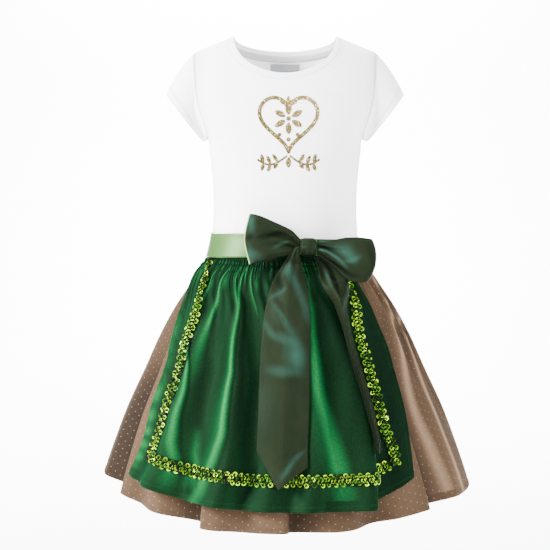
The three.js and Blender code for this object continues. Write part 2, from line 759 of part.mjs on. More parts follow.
// A loop of the bow. side: -1 for the wearer's right; reach: from the knot to the outer bend, where it is
// longest; short: how much less far its corners reach; widest: the place across where it is longest; square:
// how full its corners are; back: how far the bend lies behind the knot; belly: how far its front bulges;
// slip: how much lower its back run lies; creases: the height of the creases that fan out of the knot;
// clear: from the knot's side; edges: the heights of its edges in front over the knot's middle, by the share
// of the way out.
const LOOPS = {
  right: {
    side: -1,
    reach: 93,
    short: 8,
    widest: 0.5,
    square: 1.4,
    back: -4,
    belly: 17,
    slip: 9,
    creases: 2.4,
    clear: -0.4,
    edges: [
      { out: 0, top: 12, bottom: -11 },
      { out: 0.09, top: 20, bottom: -11 },
      { out: 0.18, top: 25.8, bottom: -11 },
      { out: 0.37, top: 33, bottom: -11.6 },
      { out: 0.55, top: 39.5, bottom: -13.8 },
      { out: 0.74, top: 45.5, bottom: -16.6 },
      { out: 0.92, top: 49, bottom: -19 },
      { out: 1, top: 49.5, bottom: -20 },
    ],
  },
  left: {
    side: 1,
    reach: 98,
    short: 9,
    widest: 0.43,
    square: 2.2,
    back: -3.5,
    belly: 19,
    slip: 4,
    creases: 2.2,
    clear: 0.1,
    edges: [
      { out: 0, top: 10.5, bottom: -11 },
      { out: 0.05, top: 10.5, bottom: -12.5 },
      { out: 0.22, top: 10.6, bottom: -21 },
      { out: 0.38, top: 12.7, bottom: -30.5 },
      { out: 0.52, top: 14.9, bottom: -40 },
      { out: 0.66, top: 15.6, bottom: -47.6 },
      { out: 0.8, top: 15.6, bottom: -49 },
      { out: 1, top: 14, bottom: -47 },
    ],
  },
};

function loopSurface(loop) {
  const start = KNOT.width / 2 + loop.clear;
  const topOf = curve(loop.edges, "out", "top");
  const bottomOf = curve(loop.edges, "out", "bottom");
  return (u, v) => {
    // u runs across the ribbon from its top edge, v along it: out in front, back behind.
    const along = Math.sin(Math.PI * clamp(v, 0, 1)) ** 2;
    const out = Math.sqrt(along) * 0.25 + along * 0.75;
    const front = Math.cos(Math.PI * v);
    const full = front > 0 ? 0.5 : 0.15; // flatter behind, where it lies on the dress
    const swelling = loop.belly * full * Math.sin(TAU * v) * (0.35 + 0.65 * along);
    const fan = (1 - smoothStep(out, 0.15, 0.75)) * Math.min(1, out * 6 + 0.25);
    const crease = loop.creases * Math.cos(3 * Math.PI * u) * fan * Math.sign(front);
    const behind = -4.2 * front - swelling + loop.back * out - crease;
    const corner = Math.abs(2 * (u - loop.widest)) ** loop.square;
    const reach = loop.reach - loop.short * corner;
    const height = mix(topOf(out), bottomOf(out), u) - (loop.slip * (1 - front) * out) / 2;
    return knotCentre
      .clone()
      .add(vector(loop.side * (start + (reach - start) * out), behind, height));
  };
}

function bowLoop(loop) {
  const surface = loopSurface(loop);
  const flipped = loop.side < 0 ? surface : (u, v) => surface(1 - u, v);
  return wall(
    steps(18).map((v) =>
      steps(8).map((u) => pair(flipped, u, clamp(v, 0.002, 0.998), SATIN)),
    ),
  );
}

// The farthest forward that the sash and the apron stand at a distance from the middle and a drop.
const apronRows = new Map();
function apronRow(drop) {
  const key = Math.round(drop);
  if (!apronRows.has(key)) {
    const at = (u) => {
      const v = (key - APRON_TOP) / (apronHem(u) - APRON_TOP);
      const point = apronSurface(u, clamp(v, 0, 1));
      return { x: point.x, out: -point.y + shirringHeight(0, v) };
    };
    apronRows.set(key, steps(160, 0.02, 0.98).map(at));
  }
  return apronRows.get(key);
}

function standing(x, drop) {
  const near = apronRow(drop).filter((at) => Math.abs(at.x - x) < 5);
  const cloth = Math.max(...near.map((at) => at.out));
  if (drop > SASH.at(-1).drop + 3) return cloth;
  const sashAt = Math.min(drop + SASH_RISE, SASH.at(-1).drop);
  return Math.max(cloth, sashFront(sashAt) * bulge(x / sashHalf(sashAt), 2));
}

// The tails of the bow: the middle of the ribbon, how wide it looks from the front, how wide its cloth is
// there, and how far it hangs off what it lies on. What is wider than it looks is folded lengthwise, into a
// crest that faces forwards.
const TAIL_RIGHT = [
  { drop: 303, x: 17.6, wide: 4.6, off: 23.5, cloth: 5 },
  { drop: 308.4, x: 15, wide: 9.6, off: 22.5, cloth: 10 },
  { drop: 315.6, x: 12.4, wide: 15.4, off: 20.5, cloth: 16 },
  { drop: 323.8, x: 10.9, wide: 22.5, off: 11, cloth: 24 },
  { drop: 331, x: 9.5, wide: 28.5, off: 5.5, cloth: 31 },
  { drop: 338, x: 8, wide: 34.5, off: 4.6, cloth: 38 },
  { drop: 351.5, x: 5.8, wide: 46.5, off: 4.4, cloth: 50 },
  { drop: 364, x: 4.6, wide: 54.5, off: 4, cloth: 58 },
  { drop: 379, x: 3.6, wide: 60.5, off: 2.4, cloth: 64 },
  { drop: 406, x: 2.1, wide: 67, off: 1.95, cloth: 70 },
  { drop: 447, x: 0, wide: 70.5, off: 1.95, cloth: 73 },
  { drop: 529, x: -2.8, wide: 72, off: 1.95, cloth: 75 },
  { drop: 582, x: -4.8, wide: 72, off: 2.6, cloth: 75 },
];
const TAIL_LEFT = [
  { drop: 319, x: 46, wide: 12, off: 1.8, cloth: 12 },
  { drop: 332, x: 58.5, wide: 26.5, off: 1.8, cloth: 26.6 },
  { drop: 339, x: 64, wide: 33, off: 1.6, cloth: 33.1 },
  { drop: 353, x: 70.5, wide: 40.5, off: 2, cloth: 42 },
  { drop: 366.7, x: 74, wide: 36, off: 2, cloth: 60 },
  { drop: 380.5, x: 78.5, wide: 24.5, off: 3, cloth: 69 },
  { drop: 394, x: 81, wide: 17, off: 3, cloth: 72 },
  { drop: 421.7, x: 88, wide: 12, off: 3, cloth: 72 },
  { drop: 462.6, x: 98.5, wide: 12.5, off: 3, cloth: 72 },
  { drop: 518, x: 116, wide: 13, off: 3, cloth: 72 },
  { drop: 550, x: 124, wide: 11, off: 3, cloth: 72 },
  { drop: 573, x: 129.5, wide: 9, off: 3, cloth: 72 },
];
// The points that the ends are cut to, as lengths beyond the last row.
const tailRightEnd = (u) => (u < 0.42 ? 3 + 120 * u : 53.4 - 50 * (u - 0.42));
const tailLeftEnd = (u) => 6 + 9 * u;

function tailSurface(table, end, waves) {
  const value = Object.fromEntries(
    ["x", "wide", "off", "cloth"].map((key) => [key, curve(table, "drop", key)]),
  );
  const [first, last] = [table[0].drop, table.at(-1).drop];
  return (u, v) => {
    const even = mix(first, last, Math.min(v, 1)); // beyond 1 lies the point
    const drop = even + Math.max(0, v - 1) * end(u);
    const wide = value.wide(even);
    const across = (share) => value.x(even) + (share - 0.5) * wide;
    const here = standing(across(u), drop);
    const most = Math.max(...steps(4).map((share) => standing(across(share), drop)));
    const folded = Math.sqrt(Math.max(0, value.cloth(even) ** 2 - wide ** 2)) / 2;
    const crest = folded * (1 - Math.abs(2 * u - 1) ** 1.3);
    const grown = smoothStep(even, first, first + 90);
    const wave = waves * (1 + Math.sin(drop / 21 + 2 * u)) * grown;
    const out = mix(here, most, 0.7) + value.off(even) + crest + wave;
    return vector(across(u), -out, -drop);
  };
}

const TAIL_ROWS = [
  ...[0, 0.02, 0.045, 0.075, 0.1, 0.13, 0.18, 0.24, 0.3, 0.4, 0.5, 0.62, 0.75, 0.88, 1],
  ...[1.5, 2], // the point
];

function bowTail(table, end, waves, across) {
  const surface = tailSurface(table, end, waves);
  return wall(
    TAIL_ROWS.map((v) => steps(across).map((u) => pair(surface, u, v, SATIN))),
  );
}

// ---- The dress ----

const finishes = {
  jersey: { color: 0xf4f4f4, roughness: 0.85 },
  cotton: { color: 0x9c7f6a, roughness: 0.8 },
  velvet: { color: 0x146b38, roughness: 0.7 },
  sequins: { color: 0xa9c62a, roughness: 0.3, metalness: 0.5 },
  satin: { color: 0x2c4532, roughness: 0.35 },
  satinLight: { color: 0x8fae82, roughness: 0.35 },
};

const dress = new THREE.Group();
function add(name, geometry, finish) {
  const material = new THREE.MeshStandardMaterial(finishes[finish]);
  const mesh = new THREE.Mesh(geometry, material);
  mesh.name = name;
  dress.add(mesh);
}

add("bodice_front", bodicePanel(FRONT), "jersey");
add("bodice_back", bodicePanel(BACK), "jersey");
const leftSleeve = sleeve();
add("sleeve_left", leftSleeve, "jersey");
add("sleeve_right", mirrored(leftSleeve), "jersey");
add("neck_binding", binding(), "jersey");
add("neck_label", label(), "jersey");
add("skirt_back", skirtPanel(0), "cotton");
add("skirt_front", skirtPanel(180), "cotton");

const grid = apronGrid();
const hemTrimRows = [APRON_ROWS.length - 3, APRON_ROWS.length - 2];
add("apron", wall(grid), "velvet");
const sideTrimRows = [TRIM_ROW, hemTrimRows[1]];
const rightTrim = [TRIM_START, TRIM_END];
const hemTrim = [TRIM_END, APRON_COLUMNS - TRIM_END];
const leftTrim = [APRON_COLUMNS - TRIM_END, APRON_COLUMNS - TRIM_START];
add("apron_trim_right", trimOn(grid, rightTrim, sideTrimRows), "sequins");
add("apron_trim_hem", trimOn(grid, hemTrim, hemTrimRows, SEAM * 1.2), "sequins");
add("apron_trim_left", trimOn(grid, leftTrim, sideTrimRows), "sequins");

add("sash", sash(), "satinLight");
add("bow_knot", knot(), "satin");
add("bow_loop_right", bowLoop(LOOPS.right), "satin");
add("bow_loop_left", bowLoop(LOOPS.left), "satin");
add("bow_tail_right", bowTail(TAIL_RIGHT, tailRightEnd, 1, 6), "satin");
add("bow_tail_left", bowTail(TAIL_LEFT, tailLeftEnd, 0, 8), "satin");

export default dress;
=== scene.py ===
"""A child's dirndl dress in its worn shape: the cloth, its folds and gathers, the bow, the sequin trim and
the stitching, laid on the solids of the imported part. The tables and curves are in millimetres, as the pattern
is; what they make is turned to metres when it becomes a mesh. The front of the dress faces -Y and +X is the
wearer's left. A drop is a distance below the shoulders, and an angle runs round the body from +X, so that the
back is at 90 degrees and the front at 270."""
import math

import bpy
import numpy as np
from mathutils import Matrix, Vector


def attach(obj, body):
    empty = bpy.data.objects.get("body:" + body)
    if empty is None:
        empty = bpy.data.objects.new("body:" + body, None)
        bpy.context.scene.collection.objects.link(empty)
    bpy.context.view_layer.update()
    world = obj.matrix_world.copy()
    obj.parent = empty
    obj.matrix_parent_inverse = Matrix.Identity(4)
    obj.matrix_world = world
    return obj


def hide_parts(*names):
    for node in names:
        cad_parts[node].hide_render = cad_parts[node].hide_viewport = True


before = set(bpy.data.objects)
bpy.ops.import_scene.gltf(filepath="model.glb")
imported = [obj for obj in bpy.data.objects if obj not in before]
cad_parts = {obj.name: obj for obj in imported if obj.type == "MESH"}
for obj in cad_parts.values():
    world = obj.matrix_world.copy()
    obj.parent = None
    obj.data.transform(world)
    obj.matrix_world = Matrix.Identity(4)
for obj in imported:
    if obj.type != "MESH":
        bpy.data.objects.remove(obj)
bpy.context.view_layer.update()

MM = 0.001
FRONT, BACK = -1, 1

# ---------------------------------------------------------------- sizes of the pattern


def table(columns, *rows):
    """Rows of numbers as named columns."""
    return {name: np.array([row[i] for row in rows], float) for i, name in enumerate(columns.split())}


def rows_of(columns):
    """A table's rows again, each with its names."""
    return [dict(zip(columns, row)) for row in zip(*columns.values())]


def crest(*rows):
    """A crest that runs down a cloth: where it lies across and its half width, how high it stands, how
    bright the painted highlight along it is, and how dark the painted shade beside it is."""
    return table("v across half high lit shade", *rows)


NECK_HALF, NECK_FRONT_DROP, NECK_BACK_DROP, BINDING_WIDTH = 75.5, 55, 21, 8
SHOULDER_SLOPE, SHOULDER_TIP, ARMPIT_DROP, WAIST_DROP = 0.41, 134, 152, 312
SHOULDER_SHARE = 0.2  # of the top edge of a bodice panel, on each side of the neckline

TORSO = table(
    "drop half front back square",
    (152, 114, 76, 66, 2.4),
    (190, 110, 78.5, 63, 2.2),
    (225, 107, 80.5, 60, 2.1),
    (262, 106.5, 80, 58.5, 2),
    (294, 108, 79, 59, 2),
    (312, 107, 77, 58.5, 2),
)
ARMHOLE = table(
    "drop edge full square",
    (0, 135, 150, 2),
    (24, 134, 150, 2),
    (55, 132.5, 151, 2),
    (88, 130, 149, 2),
    (118, 123, 139, 2.05),
    (138, 117, 126, 2.2),
    (152, 114, 114, 2.4),
)
CUFF = {"outer": (176, 86), "inner": (122, 155), "half_depth": 37, "back": 3, "swell": 3.5}

SKIRT = table(
    "drop half front back square",
    (312, 109.5, 79.5, 61, 2),
    (330, 114.5, 82, 65, 2),
    (350, 130.5, 93, 76, 1.98),
    (376, 148, 104, 88, 1.95),
    (400, 164, 113, 98, 1.92),
    (440, 186, 126, 112, 1.88),
    (497, 212, 142, 130, 1.84),
    (553, 238, 156, 148, 1.8),
    (600, 256, 167, 162, 1.78),
    (652, 274, 177, 176, 1.76),
    (710, 291, 187, 190, 1.75),
)
SKIRT_HEM = table(
    "angle drop",
    (0, 671),
    (45, 678),
    (90, 684),
    (135, 672),
    (180, 652),
    (196, 656),
    (212, 672),
    (232, 690),
    (250, 703),
    (285, 703),
    (300, 694),
    (318, 686),
    (340, 676),
    (360, 671),
)
# Troughs pressed into the skirt: tuck slides a trough's bottom round, under the cloth beside it.
SKIRT_FOLDS = table(
    "angle drift half deep tuck start end",
    (14, 0, 9, 30, 8, 0.08, 9),
    (37, 2, 11, 40, -10, 0.0, 9),
    (62, 0, 9, 28, 6, 0.25, 9),
    (86, 3, 12, 42, 12, 0.02, 9),
    (112, -2, 9, 30, -6, 0.18, 9),
    (134, 1, 11, 38, -12, 0.0, 9),
    (158, 2, 9, 30, 7, 0.12, 9),
    (197, 3, 10, 40, 24, 0.14, 9),
    (219, 0, 8, 12, 0, 0.45, 9),
    (236, 1, 9, 34, 22, 0.3, 9),
    (256, 0, 8, 10, 0, 0.5, 9),
    (277, 0, 8, 32, -20, 0.35, 9),
    (296, 1, 8, 20, 0, 0.3, 9),
    (322, 5, 10, 38, -20, 0.1, 9),
    (336, -1, 4.5, 8, 0, -0.1, 0.75),
    (347, 3, 5.5, 15, 5, -0.15, 0.8),
)
# Softer creases of the cloth itself, which come and go along its length.
SKIRT_CREASES = table(
    "angle drift half deep tuck start end",
    (6, 1, 3.5, 5, 0, -0.1, 0.5),
    (24, 1, 4, 6, 2, -0.1, 0.62),
    (49, -1, 4, 6, -2, -0.1, 0.5),
    (73, 1, 4, 7, 0, -0.1, 0.66),
    (99, 0, 4, 6, 2, -0.1, 0.55),
    (123, 1, 4, 6, -2, -0.1, 0.6),
    (146, -1, 4, 7, 1, -0.1, 0.5),
    (168, 1, 4, 6, 0, -0.1, 0.64),
    (183, 2, 4, 6, 0, -0.1, 0.58),
    (208, 1, 3.5, 5, 0, -0.1, 0.52),
    (329, 0, 3, 4, 0, -0.1, 0.55),
    (355, 1, 3.2, 6, 1, -0.1, 0.46),
)
SKIRT_GATHERS = 86
SKIRT_LONG = 370  # from the waist seam to the hem, about
# Sharper crests beside the apron, across by angle, with the painted highlight along them and the painted shade
# beside them.
SKIRT_CRESTS = [
    crest(
        (0.02, 355, 2.2, 0, 0.3, 0.3),
        (0.15, 349, 2.4, 1, 0.8, 0.7),
        (0.36, 333, 2, 1.5, 0.9, 0.8),
        (0.6, 330, 2, 1.5, 0.8, 0.7),
        (0.8, 332, 2.4, 1, 0.7, 0.5),
        (0.97, 334, 2.6, 0, 0.5, 0),
    ),
    crest(
        (0.1, 366, 2.2, 0, 0.3, 0.3),
        (0.23, 358, 2.4, 1, 0.9, 0.8),
        (0.39, 342, 2.2, 1.5, 0.9, 0.8),
        (0.64, 338, 2.4, 1.5, 0.9, 0.7),
        (0.9, 341, 3, 0.5, 0.9, 0.4),
        (1, 342, 3, 0, 0.8, 0),
    ),
]

APRON_TOP, APRON_LONG = 316, 352  # it is longest in the middle
APRON_SIDES = table(
    "share right left",
    (0, 183, 318),
    (0.1, 186, 319),
    (0.15, 190.5, 319.3),
    (0.23, 200, 320),
    (0.32, 205.5, 319.5),
    (0.42, 209.5, 320),
    (0.5, 212.3, 319.3),
    (0.64, 213, 318),
    (0.84, 215.3, 315.2),
    (1, 213, 313),
)
APRON_HEM = table(
    "across drop",
    (0, 640),
    (0.12, 650),
    (0.3, 666),
    (0.5, 672),
    (0.76, 673),
    (0.86, 660),
    (1, 637),
)
# Ridges that stand off the skirt: roll slides a crest over sideways.
APRON_FOLDS = table(
    "across drift half out roll start",
    (0.045, 0, 0.06, 6, 0, 0.2),
    (0.18, -0.03, 0.1, 20, -7, -0.05),
    (0.36, -0.01, 0.09, 27, 13, -0.1),
    (0.52, 0.0, 0.08, 14, 0, 0.0),
    (0.645, 0.0, 0.085, 21, -4, -0.05),
    (0.765, -0.01, 0.08, 36, 26, 0.12),
    (0.95, 0, 0.07, 4, 0, 0.3),
)
APRON_GATHERS = 62
SHIRRING_ROWS = (12, 20, 29)  # how far the rows of gathering thread lie below the apron's top edge
TRIM_WIDTH, TRIM_ABOVE_HEM = 16.5, 34
TRIM_TOP = 0.038  # where the side trims start, as a share of the apron's length
# The middle of each side trim, as a share of the apron's width from its side edge.
TRIM_SIDES = table(
    "share right left",
    (0, 0.1, 0.05),
    (0.045, 0.13, 0.055),
    (0.09, 0.18, 0.06),
    (0.13, 0.2, 0.07),
    (0.21, 0.187, 0.09),
    (0.3, 0.17, 0.122),
    (0.38, 0.142, 0.135),
    (0.47, 0.124, 0.134),
    (0.56, 0.113, 0.126),
    (0.65, 0.112, 0.12),
    (0.73, 0.111, 0.112),
    (0.8, 0.1, 0.094),
    (0.86, 0.093, 0.083),
    (1, 0.095, 0.08),
)

SASH_TOP, SASH_LOW = 291, 326
SASH = table(
    "drop half front back",
    (SASH_TOP, 110.9, 82.2, 62.3),
    (308, 113.9, 84.4, 65.4),
    (SASH_LOW, 118.6, 87.4, 69.8),
)
SASH_RISE = 6  # of the sash in front
KNOT = {"x": 33, "drop": 305, "width": 25, "height": 26, "depth": 22}

THICK = {"jersey": 0.9, "rib": 1.3, "cotton": 0.8, "velvet": 1.4, "satin": 0.6}

# ---------------------------------------------------------------- curves and surfaces


def mix(a, b, t):
    return a + (b - a) * t


def smooth(x, low, high):
    t = np.clip((x - low) / (high - low), 0, 1)
    return t * t * (3 - 2 * t)


def bump(x):
    return np.where(np.abs(x) < 1, np.cos(np.pi / 2 * np.clip(x, -1, 1)) ** 2, 0)


def bulge(across, square):
    """The depth of a section at a share of its half width: an ellipse when square is 2."""
    return np.maximum(0, 1 - np.abs(across) ** square) ** (1 / square)


def pair(a, b):
    return np.stack([a, b], -1)


def even(count, low=0.0, high=1.0):
    return np.linspace(low, high, count)


def joined(*runs):
    """Runs of (count, from, to) that share their ends."""
    return np.concatenate([even(*run)[min(i, 1):] for i, run in enumerate(runs)])


def vec(x, y, z):
    return np.stack(np.broadcast_arrays(x, y, z), -1).astype(float)


def unit(a):
    return a / np.maximum(np.linalg.norm(a, axis=-1, keepdims=True), 1e-12)


def curve(rows, by, column):
    """A smooth curve through one column of a table, by another, that doesn't swing past its rows."""
    xs, ys = rows[by], rows[column]
    slopes = np.diff(ys) / np.diff(xs)
    a, b = slopes[:-1], slopes[1:]
    inner = np.where(a * b > 0, 2 * a * b / np.where(a + b == 0, 1, a + b), 0)
    tangents = np.concatenate([slopes[:1], inner, slopes[-1:]])

    def at(x):
        x = np.asarray(x, float)
        i = np.clip(np.searchsorted(xs, x, side="right") - 1, 0, len(xs) - 2)
        step = xs[i + 1] - xs[i]
        t = np.clip((x - xs[i]) / step, 0, 1)
        past = x - xs[i] - t * step
        return (
            ys[i] * (1 + 2 * t) * (1 - t) ** 2
            + tangents[i] * step * t * (1 - t) ** 2
            + ys[i + 1] * t * t * (3 - 2 * t)
            + tangents[i + 1] * step * t * t * (t - 1)
            + past * np.where(t > 0.5, tangents[i + 1], tangents[i])
        )

    return at


def curves(rows, by, columns):
    return [curve(rows, by, column) for column in columns.split()]


def normal_of(surface, u, v):
    small = 1e-3
    across = surface(u + small, v) - surface(u - small, v)
    down = surface(u, v + small) - surface(u, v - small)
    return unit(np.cross(down, across))


def raised(surface, height):
    """A surface with the height that a function of the same places gives it."""
    return lambda u, v: surface(u, v) + normal_of(surface, u, v) * height(u, v)[..., None]


def chance(count, salt):
    """Even numbers from 0 to 1 in a fixed order."""
    return np.random.default_rng(salt).random(count)


def gathers(place, count, reach, salt, low=0.12, high=0.5):
    """Uneven gathers by their place from 0 to 1 and how far down the cloth they reach: 0 to 1."""
    warp = 0.42 * np.sin(2 * np.pi * place * 3 + salt) + 0.27 * np.sin(2 * np.pi * place * 7 + 2 * salt)
    phase = place * count + warp * count / 40
    number = np.floor(phase).astype(int) % count
    strength = 0.55 + 0.7 * chance(count, salt)[number]
    length = (low + (high - low) * chance(count, salt + 1) ** 1.6)[number]
    wave = (0.5 - 0.5 * np.cos(2 * np.pi * phase)) ** 0.8
    return wave * strength * (1 - smooth(reach, length * 0.25, length))


def from_segment(places, a, b):
    """How far along a segment each place lies, from 0 to 1, and how far off it."""
    a, b = np.asarray(a, float), np.asarray(b, float)
    along = np.clip(((places - a) @ (b - a)) / max((b - a) @ (b - a), 1e-9), 0, 1)
    return along, np.linalg.norm(places - (a + along[..., None] * (b - a)), axis=-1)


def dents(places, rows):
    """Soft troughs laid one by one: from and to points, half width and depth."""
    total = np.zeros(places.shape[:-1])
    for row in rows:
        along, away = from_segment(places, row[0:2], row[2:4])
        ends = np.sin(np.pi * (0.12 + 0.76 * along))
        total -= row[5] * ends * bump(away / (row[4] * (0.55 + 0.45 * ends)))
    return total


def crest_lines(lines, u, v):
    """Crests that run down a cloth: their height, the painted highlight along them, and the painted shade
    beside them.
    """
    high, lit, shade = np.zeros((3, *np.shape(u)))
    for rows in lines:
        across, half, rise, bright, dark = [at(v) for at in curves(rows, "v", "across half high lit shade")]
        inside = (v >= rows["v"][0]) & (v <= rows["v"][-1])
        away, half = u - across, np.maximum(half, 1e-4)
        high += inside * np.maximum(0, rise) * bump(away / (half * np.where(away < 0, 2.6, 1.2)))
        glow = 0.75 * bump(away / (0.85 * half)) + 0.2 * bump(away / (2.2 * half)) * (away < 0)
        lit = np.maximum(lit, inside * np.maximum(0, bright) * glow)
        right, left = bump((away - 3.2 * half) / (2.6 * half)), bump((away + 3.4 * half) / (2.4 * half))
        beside = np.maximum(right, 0.5 * left)
        shade = np.maximum(shade, inside * np.maximum(0, dark) * beside)
    return high, np.clip(lit, 0, 1), np.clip(shade, 0, 1)


def marks(places_of, rows):
    """Soft streaks laid as dents are: 0 outside them, up to 1 inside."""
    return lambda u, v: np.clip(dents(places_of(u, v), [(*row[:5], -row[5]) for row in rows]), 0, 1)


# -------- bodice

torso_half, torso_front, torso_back, torso_square = curves(TORSO, "drop", "half front back square")
armhole_edge, armhole_full, armhole_square = curves(ARMHOLE, "drop", "edge full square")
torso_depth = {FRONT: torso_front, BACK: torso_back}


def shoulder_drop(x):
    past = np.abs(x) / NECK_HALF
    rise = SHOULDER_SLOPE * NECK_HALF / 2
    return np.where(past > 1, SHOULDER_SLOPE * NECK_HALF * (past - 1), rise * (past * past - 1))


def panel_start(drop):
    return np.arccos(np.clip(armhole_edge(drop) / armhole_full(drop), -1, 1))


def neckline(angle, outside):
    half = NECK_HALF + outside
    side = shoulder_drop(half)
    front = np.sin(angle) < -1e-9
    deep = np.where(front, NECK_FRONT_DROP, NECK_BACK_DROP) + outside - side
    return half * np.cos(angle), side + deep * np.abs(np.sin(angle)), np.where(front, FRONT, BACK)


def form_point(x, drop, face):
    """A point of the bodice's form, by its distance from the middle and its drop."""
    low = np.maximum(drop, ARMPIT_DROP)
    square = np.where(drop > ARMPIT_DROP, torso_square(low), armhole_square(drop))
    half = np.where(drop > ARMPIT_DROP, torso_half(low), armhole_full(drop))
    up = np.clip((ARMPIT_DROP - drop) / (ARMPIT_DROP - shoulder_drop(x)), 0, 1)
    depth = np.where(face == FRONT, torso_front(low), torso_back(low))
    out = depth * bulge(x / half, square) * np.sqrt(1 - up * up)
    return vec(x, face * out, -drop)


def form_normal(x, drop, face):
    """The direction that the form faces at a point of it."""
    small = 0.05
    across = form_point(x + small, drop, face) - form_point(x - small, drop, face)
    down = form_point(x, drop + small, face) - form_point(x, drop - small, face)
    return unit(np.cross(down, across))


def top_edge(face, u):
    tip = armhole_edge(shoulder_drop(SHOULDER_TIP))
    neck = NECK_HALF + BINDING_WIDTH
    from_tip = np.minimum(u, 1 - u) / SHOULDER_SHARE
    shoulder_x = mix(tip, neck, from_tip)
    start = 0 if face == BACK else np.pi
    along = np.clip((u - SHOULDER_SHARE) / (1 - 2 * SHOULDER_SHARE), 1e-6, 1 - 1e-6)
    neck_x, neck_at, _ = neckline(start + np.pi * along, BINDING_WIDTH)
    on_shoulder = from_tip < 1
    side = np.where(u < 0.5, face, -face)
    x = np.where(on_shoulder, side * shoulder_x, neck_x)
    return x, np.where(on_shoulder, shoulder_drop(shoulder_x), neck_at)


# Creases of the jersey: from x and drop to x and drop, half width, depth.
BODICE_CREASES = {
    FRONT: [
        (-112, 158, -66, 196, 11, 2.4),
        (-114, 140, -84, 128, 9, 1.6),
        (112, 158, 70, 190, 11, 2.2),
        (114, 142, 86, 126, 9, 1.6),
        (-104, 236, -58, 262, 12, 1.4),
        (102, 240, 52, 258, 12, 1.2),
        (-74, 306, -66, 268, 7, 1.6),
        (-38, 308, -44, 276, 7, 1.2),
        (58, 306, 66, 264, 8, 1.6),
        (-40, 66, -104, 92, 10, 1.0),
        (44, 68, 104, 96, 10, 1.0),
    ],
    BACK: [
        (-112, 158, -60, 190, 11, 2.2),
        (112, 158, 64, 196, 11, 2.2),
        (-90, 240, -30, 252, 12, 1.6),
        (92, 236, 26, 262, 12, 1.6),
        (-52, 306, -44, 262, 8, 1.8),
        (8, 308, 2, 274, 8, 1.4),
        (60, 306, 50, 266, 8, 1.6),
    ],
}


def creased(points, face):
    """How far the jersey stands in or out of its form."""
    return dents(pair(points[..., 0], -points[..., 2]), BODICE_CREASES[face])


def bodice(face):
    def surface(u, v):
        top_x, top_drop = top_edge(face, u)
        start = panel_start(top_drop)
        turn = np.arccos(np.clip(face * top_x / armhole_full(top_drop), -1, 1))
        share = (turn - start) / (np.pi - 2 * start)
        reach = (ARMPIT_DROP - top_drop) / (ARMPIT_DROP - shoulder_drop(top_x))
        rise = (1 - np.minimum(v, 1)) * np.arcsin(np.clip(reach, -1, 1))
        x, drop, angle = top_x, top_drop, turn
        for _ in range(12):
            drop = ARMPIT_DROP - (ARMPIT_DROP - shoulder_drop(x)) * np.sin(rise)
            begin = panel_start(drop)
            angle = begin + (np.pi - 2 * begin) * mix(share, u, np.clip(v, 0, 1))
            x = face * armhole_full(drop) * np.cos(angle)
        deep = bulge(np.cos(angle), armhole_square(drop)) * np.sign(np.sin(angle))
        upper = vec(x, face * torso_depth[face](ARMPIT_DROP) * np.cos(rise) * deep, -drop)
        drop = mix(ARMPIT_DROP, WAIST_DROP, np.maximum(v, 1) - 1)
        deep = bulge(np.cos(np.pi * u), torso_square(drop)) * np.sign(np.sin(np.pi * u))
        lower = vec(face * torso_half(drop) * np.cos(np.pi * u), face * torso_depth[face](drop) * deep, -drop)
        return np.where((v > 1)[..., None], lower, upper)

    return surface


bodice_of = {FRONT: bodice(FRONT), BACK: bodice(BACK)}


def armhole_point(share):
    """The armhole's edge on the wearer's left: from the armpit up the front, over the shoulder and down."""
    front = share <= 0.5
    v = np.where(front, 1 - 2 * share, 2 * share - 1)
    one = np.ones_like(share)
    a = bodice_of[FRONT](one, v)
    b = bodice_of[BACK](0 * one, v)
    return np.where(front[..., None], a, b)


SLEEVE_CREASES = [
    (0.1, 0.95, 0.14, 0.35, 0.035, 1.8),
    (0.2, 0.05, 0.16, 0.6, 0.03, 1.2),
    (0.9, 0.9, 0.86, 0.3, 0.035, 1.8),
    (0.78, 0.05, 0.83, 0.55, 0.03, 1.2),
]


def sleeve_surface(u, v):
    share = u - np.floor(u)
    start = armhole_point(share)
    angle = 2 * np.pi * share
    inward = (1 + np.cos(angle)) / 2
    (outer_x, outer_drop), (inner_x, inner_drop) = CUFF["outer"], CUFF["inner"]
    end = vec(
        mix(outer_x, inner_x, inward),
        CUFF["back"] - CUFF["half_depth"] * np.sin(angle),
        -mix(outer_drop, inner_drop, inward),
    )
    swell = CUFF["swell"] * np.sin(np.pi * np.clip(v, 0, 1)) * (1 - inward)
    return mix(start, end, v[..., None]) + vec(swell * 0.8, 0 * swell, swell * 0.6)


def sleeve_height(u, v):
    pressed = dents(pair(u - np.floor(u), v), SLEEVE_CREASES)
    hem = 0.45 * smooth(v, 0.8, 0.83)
    seam = -0.7 * (1 - smooth(v, 0.0, 0.06))
    return pressed + hem + seam


def binding_surface(u, v):
    angle = 2 * np.pi * u
    return mix(form_point(*neckline(angle, 0)), form_point(*neckline(angle, BINDING_WIDTH)), v[..., None])


# -------- skirt

skirt_half, skirt_front, skirt_back, skirt_square = curves(SKIRT, "drop", "half front back square")
skirt_hem = curve(SKIRT_HEM, "angle", "drop")


def wrapped(angle):
    return angle - 360 * np.floor(angle / 360)


def skirt_base(angle, drop):
    """The form that the skirt's folds are pressed into and the apron lies on."""
    across = np.cos(np.radians(angle))
    deep = bulge(across, skirt_square(drop)) * np.sign(np.sin(np.radians(angle)))
    depth = np.where(deep < 0, skirt_front(drop), skirt_back(drop))
    return vec(skirt_half(drop) * across, depth * deep, -drop)


def base_axes(angle, drop):
    around = skirt_base(angle + 0.2, drop) - skirt_base(angle - 0.2, drop)
    down = skirt_base(angle, drop + 0.5) - skirt_base(angle, drop - 0.5)
    return unit(np.cross(down, around)), unit(around)


